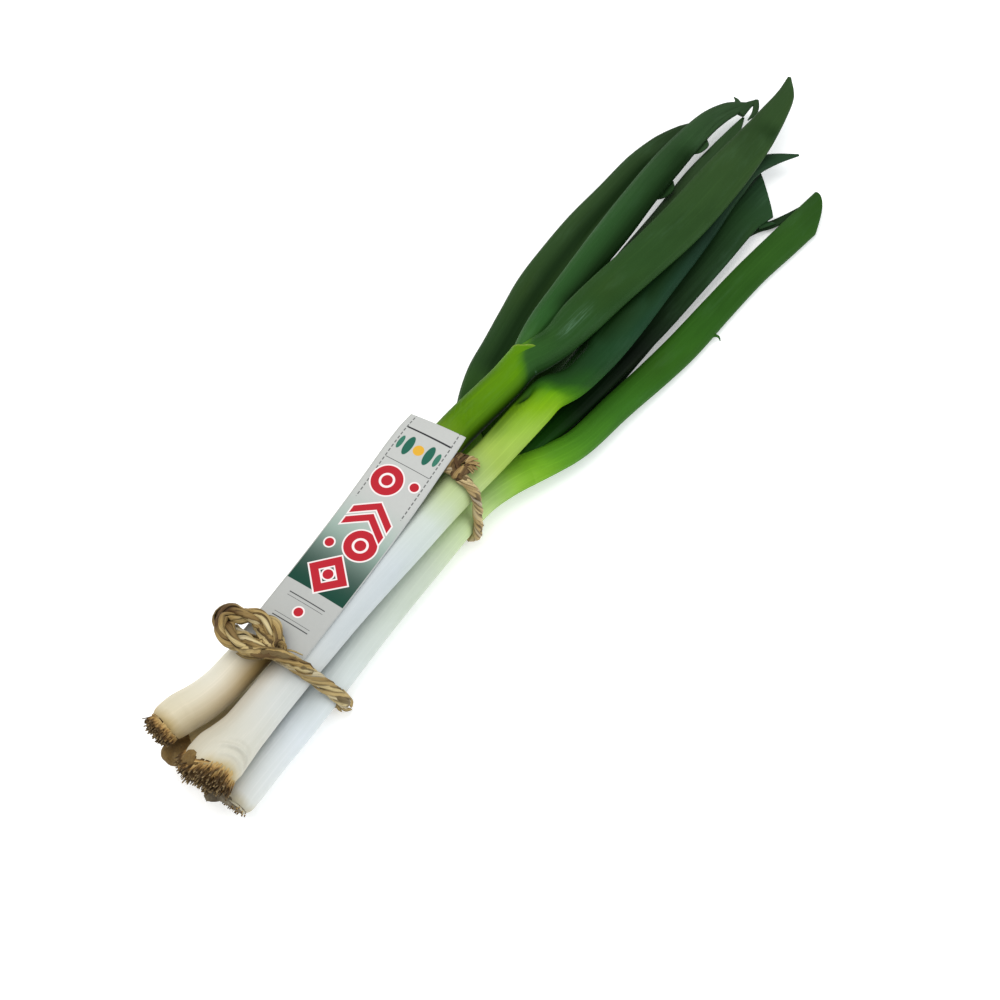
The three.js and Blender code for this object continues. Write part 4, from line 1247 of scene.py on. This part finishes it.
def even(points, pitch, closed=False):
    """The smooth line through points, at an even pitch, with its run and its length."""
    points = np.asarray(points, float)
    fine = smooth_line(points, np.linspace(0, 1, FINE * len(points)), closed)
    run = run_along(fine)
    count = round(run[-1] / pitch)
    wanted = np.linspace(0, run[-1], count + 1)[: count if closed else None]
    line = np.stack([np.interp(wanted, run, fine[:, k]) for k in range(3)], -1)
    return line, wanted, run[-1]


def rope(
    piece, rng, points, wide_way, width, thickness, lay, straws,
    strands=1, closed=False, swell=((0, 1),), shade=((0, 0),),
):
    """A twisted straw cord: strands round its middle line, and flat straws round each strand.

    `wide_way` is the direction across which it has its full width, and `lay` the length in which its
    strands turn once. `swell` and `shade` say how its width and its tone change along it.
    """
    line, run, length = even(points, pitch=1.2, closed=closed)
    wide_way = np.asarray(wide_way, float)
    ahead = np.roll(line, -1, 0) - np.roll(line, 1, 0) if closed else np.gradient(line, axis=0)
    along = unit(ahead)
    wide = unit(wide_way - (along @ wide_way)[:, None] * along)
    deep = np.cross(along, wide)
    share = run / length
    turns = round(length / lay) if closed else length / lay
    taper = np.ones(len(run)) if closed else np.minimum(1, 0.6 + 5 * np.minimum(share, 1 - share))
    taper = taper * np.interp(share, *zip(*swell))
    shade = np.interp(share, *zip(*shade))[:, None]
    fat = width / 2 * STRAND_SHARE[strands]  # half a strand's width
    flat = thickness / width
    around = circle(STRAW_SIDES)
    back_twist = turns if strands == 1 else round(0.8 * turns) if closed else 0.8 * turns

    def slow(count):
        """A slow seeded change along the cord, up to `count` waves in its length."""
        total = np.zeros(len(run))
        for _ in range(3):
            total += np.sin(2 * math.pi * (share * rng.integers(1, count) + rng.uniform(0, 1)))
        return total / 3

    for strand in range(strands):
        phase = 2 * math.pi * (turns * share + strand / strands)
        offset = (width / 2 - fat) * taper * (1 + 0.08 * slow(9))
        # The first straw, numbered -1, is a round core that fills the middle of the strand.
        for straw in range(-1, straws):
            core = straw < 0
            whirl = 2 * math.pi * ((straw + rng.uniform(-0.22, 0.22)) / straws - back_twist * share)
            if core:
                radial = 0 * run
                half_width = fat * 0.62 * taper * (1 + 0.16 * slow(14))
                half_thick = half_width
            else:
                radial = fat * (0.68 + 0.1 * slow(12) + rng.uniform(-0.08, 0.12)) * taper
                half_width = fat * (math.sin(math.pi / straws) * rng.uniform(0.8, 1.3)) * taper
                half_width = half_width * (1 + 0.16 * slow(14))
                half_thick = fat * rng.uniform(0.13, 0.22) * taper
            a = np.cos(phase) * offset + np.cos(whirl) * radial
            b = np.sin(phase) * offset + np.sin(whirl) * radial
            centre = line + a[:, None] * wide + (b * flat)[:, None] * deep
            tilt = whirl + 0.5 * slow(10) + rng.uniform(-0.3, 0.3)
            out = np.cos(tilt)[:, None] * wide + np.sin(tilt)[:, None] * deep
            tangent = np.cross(along, out)
            squash = (flat + (1 - flat) * np.abs(out @ wide_way))[:, None, None]
            tall = (np.cos(around)[None] * half_thick[:, None])[..., None] * out[:, None]
            broad = (np.sin(around)[None] * half_width[:, None])[..., None] * tangent[:, None]
            wrap = (np.sin(around)[None] * half_width[:, None]) ** 2 / (1.9 * fat) * (not core)
            grid = centre[:, None] + (tall - wrap[..., None] * out[:, None]) * squash + broad
            straight = np.stack(
                [
                    np.sin(around) * half_width[:, None] + straw * 7,
                    np.cos(around) * half_thick[:, None] + strand * 11,
                    np.broadcast_to(run[:, None], grid.shape[:2]),
                ],
                -1,
            )
            # Painted shade on the straw's narrow sides and inner face; the core is shaded all over.
            rim_shade = np.abs(np.sin(around)) ** 6 + 0.5 * (np.cos(around) < -0.3)
            rim_shade = np.ones(STRAW_SIDES) if core else np.minimum(rim_shade, 1)
            tone = rng.uniform(0, 1) + shade
            if closed:
                grid = np.concatenate([grid, grid[:1]])
                straight = np.concatenate([straight, straight[-1:]])
                tone = np.concatenate([tone, tone[:1]])
            piece.add(grid, straight, tone=tone, edge=rim_shade, caps=(not closed, not closed))


def loose_straw(piece, rng, line, width):
    """One broken flat straw that stands off a cord along its own line."""
    middle, run, length = even(line, pitch=0.8)
    aim = unit(np.gradient(middle, axis=0))
    side = unit(np.cross(aim, (0.2, 0.1, 1)))
    side = unit(side + rng.uniform(-0.5, 0.5) * np.cross(aim, side))
    top = np.cross(aim, side)
    around = circle(STRAW_SIDES)
    half = width / 2 * (1 - 0.6 * (run / length) ** 3)
    u, v = np.cos(around) * half[:, None], np.sin(around)[None] * (0.16 * half[:, None] + 0.25)
    points = middle[:, None] + u[..., None] * side[:, None] + v[..., None] * top[:, None]
    straight = np.stack([u, np.sin(around) * half[:, None], np.broadcast_to(run[:, None], u.shape)], -1)
    # Painted shade along the straw's two narrow edges.
    rim_shade = np.abs(np.cos(around)) ** 6
    piece.add(points, straight, tone=rng.uniform(0.2, 1), edge=rim_shade)


def lower_tie(rng, sizes):
    """The band round the stems and over the label, with its loop, hitch and loose ends."""
    label = Stations(LABEL_ROWS, 1)
    edges = []
    for side in (1, -1):
        point = label.centre[0] + label.side[0] * side * label.width[0] / 2
        edges.append((point[1], point[2], 0.35))
    tie = Piece()
    rope(
        tie, rng, hull_path("lower", edges), wide_way=ALONG, width=sizes.cord_width / MM, thickness=5.4,
        lay=52, straws=7, closed=True, shade=((0, 0.4),),
    )
    width = sizes.loop_width / MM
    rope(
        tie, rng, LOOP, wide_way=UP, width=width * 0.84, thickness=width,
        lay=40, straws=5, strands=3, swell=LOOP_SWELL, shade=LOOP_TONE,
    )
    rope(
        tie, rng, INNER_BIGHT, wide_way=ALONG, width=8, thickness=5,
        lay=60, straws=5, shade=((0, 0.1),),
    )
    rope(
        tie, rng, CROSSING, wide_way=ALONG, width=8, thickness=4.4,
        lay=60, straws=6, shade=((0, 0.1), (0.4, -0.2), (1, 0.3)),
    )
    ring = []
    for a in circle(16):
        place = np.array((math.cos(a), math.sin(a), 0.25 * math.sin(a)))
        ring.append(np.array(WHIRL) + WHIRL_RADIUS * place)
    rope(
        tie, rng, ring, wide_way=UP, width=2.2, thickness=2.4,
        lay=12, straws=3, closed=True, shade=((0, -0.1),),
    )
    for line, straw in LOWER_ENDS:
        loose_straw(tie, rng, line, straw)
    return tie


def upper_tie(rng, sizes):
    """The thinner band with its small knot and frayed straws."""
    tie = Piece()
    rope(
        tie, rng, hull_path("upper"), wide_way=ALONG, width=sizes.upper_cord_width / MM, thickness=5.4,
        lay=28, straws=6, closed=True, shade=((0, 0.55),),
    )
    for bow in UPPER_KNOT:
        rope(
            tie, rng, bow, wide_way=(0, 1, 0.3), width=6.6, thickness=5.4,
            lay=30, straws=6, shade=((0, -0.6),),
        )
    for i in range(FRAYED_STRAWS):
        turn = math.radians(rng.uniform(-75, 40) if i % 3 else rng.uniform(-150, 60))
        aim = np.array((math.cos(turn), math.sin(turn), 0))
        start = np.array(FRAYED) + aim * 2 + (0, 0, rng.uniform(0.4, 1.6))
        reach = rng.uniform(5, 8.5)
        middle = start + aim * reach * 0.6 + (0, 0, rng.uniform(-0.6, 0.8))
        loose_straw(tie, rng, [start, middle, start + aim * reach - (0, 0, 2)], rng.uniform(1.6, 2.8))
    return tie


def label_piece(thickness):
    """The folded paper strip; its upper face is marked as the printed side."""
    stations = Stations(LABEL_ROWS, 1.2)
    across = np.linspace(-0.5, 0.5, 33) * stations.width[:, None]
    upper, under = label_plies(stations, thickness, across)
    grid = np.concatenate([upper, under[:, ::-1]], axis=1)
    run = np.broadcast_to(stations.run[:, None], across.shape)
    flat = np.stack([across, np.zeros(across.shape), run], -1)
    lay = np.concatenate([flat, flat[:, ::-1]], axis=1)
    printed = np.concatenate([np.ones(across.shape), np.zeros(across.shape)], axis=1)
    piece = Piece()
    piece.add(grid[:, ::-1], lay[:, ::-1], edge=printed[:, ::-1])
    return piece


# ------------------------------------------------------------------ the stage
TABLE_HALF = 6.0  # metres, far past every view
TABLE_DROP = 0.0002  # metres below the bunch, so the two never share a plane
DAYLIGHT = (0.93, 0.96, 1.0, 1)
DAYLIGHT_STRENGTH = 0.52
# Soft square lamps, aimed at the bunch: place and size in metres, watts, tint.
LAMPS = {
    "overhead": ((-0.15, 0.55, 1.7), 1.9, 27, (1.0, 0.985, 0.96)),
    "right_fill": ((0.5, -1.5, 0.9), 1.5, 15, (0.9, 0.96, 1.0)),
}
CAMERA_AIM = (0.39614, 0.30507, -0.86603)  # 60 degrees down, 37.6 degrees round from +x
CAMERA_TARGET = (242.0, -9.3, 4.5)  # on the bench, in mm
CAMERA_DISTANCE = 0.85
LENS, FILM_WIDTH = 50, 36  # mm


def set_table(scene, tint):
    """A pale table top that glows a little, so that it stays light and even to its far edge."""
    look = Look("table_top", Emission_Strength=0.35)
    place = look.node("ShaderNodeTexCoord", {}, {}, "Object")
    grain = look.noise(place, (6, 6, 6), detail=3)
    look.set("Base Color", look.mix(grain, tint, tuple(0.985 * c for c in tint)))
    look.set("Roughness", 0.75)
    look.set("Emission Color", tint)
    half = TABLE_HALF
    mesh = bpy.data.meshes.new("table_top")
    corners = [(-half, -half, 0), (half, -half, 0), (half, half, 0), (-half, half, 0)]
    mesh.from_pydata(corners, [], [(0, 1, 2, 3)])
    mesh.materials.append(look.material)
    table = bpy.data.objects.new("table_top", mesh)
    table.location.z = -TABLE_DROP
    scene.collection.objects.link(table)


def set_lights(scene):
    """An even light from all round, and two soft lamps."""
    world = bpy.data.worlds.new("soft_room")
    world.use_nodes = True
    background = world.node_tree.nodes["Background"]
    background.inputs["Color"].default_value = DAYLIGHT
    background.inputs["Strength"].default_value = DAYLIGHT_STRENGTH
    scene.world = world
    for name, (place, size, watts, tint) in LAMPS.items():
        lamp = bpy.data.lights.new(name, "AREA")
        lamp.energy = watts
        lamp.size = size
        lamp.color = tint
        holder = bpy.data.objects.new(name, lamp)
        holder.location = place
        look_along(holder, -Vector(place))
        scene.collection.objects.link(holder)


def set_camera(scene):
    """A camera that looks down on the whole bunch."""
    lens = bpy.data.cameras.new("camera")
    lens.sensor_width = FILM_WIDTH
    lens.lens = LENS
    camera = bpy.data.objects.new("camera", lens)
    aim = Vector(CAMERA_AIM)
    target = Vector(CAMERA_TARGET) * MM + Vector(bench_shift())
    camera.location = target - aim * CAMERA_DISTANCE
    look_along(camera, aim)
    scene.collection.objects.link(camera)
    scene.camera = camera


def look_along(thing, aim):
    """Turns a lamp or camera so that it looks the way of aim, upright."""
    thing.rotation_mode = "QUATERNION"
    thing.rotation_quaternion = aim.to_track_quat("-Z", "Y")


# ------------------------------------------------------------------ settings
class SpringOnionSizes(bpy.types.PropertyGroup):
    """Sizes a maker may change"""

    unevenness: FloatProperty(
        name="Unevenness", description="How wavy and ribbed the flesh is, as a share of the usual",
        default=1.0, min=0, max=3, subtype="FACTOR",
    )
    root_length: FloatProperty(
        name="Root length", description="Length of the clipped roots, as a share of the usual",
        default=1.0, min=0.2, max=3, subtype="FACTOR",
    )
    root_splay: FloatProperty(
        name="Root splay", description="How far the outer roots lean outward, as a share of their length",
        default=0.55, min=0, max=2, subtype="FACTOR",
    )
    cord_width: FloatProperty(
        name="Lower cord width", description="Width of the straw cord of the lower tie",
        default=0.0088, unit="LENGTH", subtype="DISTANCE",
    )
    upper_cord_width: FloatProperty(
        name="Upper cord width", description="Width of the straw cord of the upper tie",
        default=0.0074, unit="LENGTH", subtype="DISTANCE",
    )
    loop_width: FloatProperty(
        name="Loop width", description="Width of the plaited carrying loop",
        default=0.0132, unit="LENGTH", subtype="DISTANCE",
    )
    paper_thickness: FloatProperty(
        name="Paper thickness", description="Thickness of the folded paper of the label",
        default=0.0005, unit="LENGTH", subtype="DISTANCE",
    )


class SpringOnionColours(bpy.types.PropertyGroup):
    """Colours a maker may change"""

    straw_light: FloatVectorProperty(
        name="Light straw", description="The brightest straws", subtype="COLOR",
        default=srgb(204, 184, 134),
    )
    straw_dark: FloatVectorProperty(
        name="Dark straw", description="The brownest straws", subtype="COLOR",
        default=srgb(84, 60, 34),
    )
    upper_straw_light: FloatVectorProperty(
        name="Upper straw", description="The upper cord's brightest straws", subtype="COLOR",
        default=srgb(204, 182, 136),
    )
    paper: FloatVectorProperty(
        name="Paper", description="Bare paper of the label", subtype="COLOR",
        default=srgb(188, 189, 185),
    )
    print_green: FloatVectorProperty(
        name="Green print", description="The label's fading panel", subtype="COLOR",
        default=srgb(0, 60, 45),
    )
    print_red: FloatVectorProperty(
        name="Red print", description="The label's motifs", subtype="COLOR",
        default=srgb(176, 22, 38),
    )
    table_top: FloatVectorProperty(
        name="Table top", description="The pale table the bunch lies on", subtype="COLOR",
        default=(0.92, 0.92, 0.915),
    )


# ------------------------------------------------------------------ operators
class ONION_OT_stems(bpy.types.Operator):
    """Build the four stems from root end to neck"""

    bl_idname = "onion.stems"
    bl_label = "Stems"

    def execute(self, context):
        for letter in STEMS:
            material = flesh_look(f"flesh_{letter}", STEM_STOPS[letter])
            piece = stem_piece(letter, context.scene.spring_onion_sizes)
            piece.finish(f"stem_{letter}", material, "stem", f"onion_{letter}_stem")
        return {"FINISHED"}


class ONION_OT_leaves(bpy.types.Operator):
    """Build the leaves: one that carries each sheath on, and the younger ones"""

    bl_idname = "onion.leaves"
    bl_label = "Leaves"

    def execute(self, context):
        sizes = context.scene.spring_onion_sizes
        for letter in MAIN_LEAVES:
            slot = "bright_leaf" if letter == "c" else "leaf"
            piece = leaf_piece(f"{letter}1", sizes)
            material = flesh_look(f"leaf_{letter}1", STEM_STOPS[letter])
            piece.finish(f"leaf_{letter}_1", material, slot, f"onion_{letter}_leaf_1")
        for name in INNER_LEAVES:
            letter, number = name
            piece = leaf_piece(name, sizes)
            material = flesh_look(f"leaf_{name}", INNER_STOPS[name], 1.0)
            piece.finish(f"leaf_{letter}_{number}", material, "leaf", f"onion_{letter}_leaf_{number}")
        return {"FINISHED"}


class ONION_OT_roots(bpy.types.Operator):
    """Build the clipped root tufts"""

    bl_idname = "onion.roots"
    bl_label = "Roots"

    def execute(self, context):
        material = root_look()
        for letter in TUFTS:
            piece = roots_piece(letter, context.scene.spring_onion_sizes)
            piece.finish(f"roots_{letter}", material, "roots", f"onion_{letter}_roots")
        return {"FINISHED"}


class ONION_OT_ties(bpy.types.Operator):
    """Build the two straw ties, the lower one with its carrying loop"""

    bl_idname = "onion.ties"
    bl_label = "Straw ties"

    def execute(self, context):
        sizes, colours = context.scene.spring_onion_sizes, context.scene.spring_onion_colours
        dark = tuple(colours.straw_dark)
        rng = np.random.default_rng(5)
        golden = straw_look("straw", tuple(colours.straw_light), dark)
        lower_tie(rng, sizes).finish("tie_lower", golden, "straw", "lower_tie")
        brown = straw_look("straw_brown", tuple(colours.upper_straw_light), dark)
        upper_tie(rng, sizes).finish("tie_upper", brown, "straw", "upper_tie")
        return {"FINISHED"}


class ONION_OT_label(bpy.types.Operator):
    """Build the printed paper strip"""

    bl_idname = "onion.label"
    bl_label = "Paper label"

    def execute(self, context):
        piece = label_piece(context.scene.spring_onion_sizes.paper_thickness / MM)
        look = label_look(context.scene.spring_onion_colours)
        piece.finish("label_strip", look, "paper", "label")
        return {"FINISHED"}


class ONION_OT_stage(bpy.types.Operator):
    """Set the table, the soft lights and the camera"""

    bl_idname = "onion.stage"
    bl_label = "Table, lights and camera"

    def execute(self, context):
        scene = context.scene
        set_table(scene, tuple(scene.spring_onion_colours.table_top))
        set_lights(scene)
        set_camera(scene)
        scene.view_settings.view_transform = "Standard"
        return {"FINISHED"}


class ONION_PT_bunch(bpy.types.Panel):
    """Buttons for every piece, and the sizes and colours"""

    bl_label = "Spring onion bunch"
    bl_idname = "ONION_PT_bunch"
    bl_space_type = "VIEW_3D"
    bl_region_type = "UI"
    bl_category = "Onions"

    def draw(self, context):
        column = self.layout.column()
        for operator in OPERATORS:
            column.operator(operator.bl_idname)
        for group in (context.scene.spring_onion_sizes, context.scene.spring_onion_colours):
            for name in group.__annotations__:
                column.prop(group, name)


OPERATORS = (
    ONION_OT_stage, ONION_OT_stems, ONION_OT_leaves, ONION_OT_roots, ONION_OT_ties, ONION_OT_label,
)
CLASSES = (SpringOnionSizes, SpringOnionColours, *OPERATORS, ONION_PT_bunch)


def register():
    for cls in CLASSES:
        bpy.utils.register_class(cls)
    bpy.types.Scene.spring_onion_sizes = PointerProperty(type=SpringOnionSizes)
    bpy.types.Scene.spring_onion_colours = PointerProperty(type=SpringOnionColours)


def unregister():
    del bpy.types.Scene.spring_onion_colours
    del bpy.types.Scene.spring_onion_sizes
    for cls in reversed(CLASSES):
        bpy.utils.unregister_class(cls)


def main():
    """Builds every piece in order."""
    register()
    for operator in OPERATORS:
        group, name = operator.bl_idname.split(".")
        getattr(getattr(bpy.ops, group), name)()


if __name__ == "__main__":
    main()
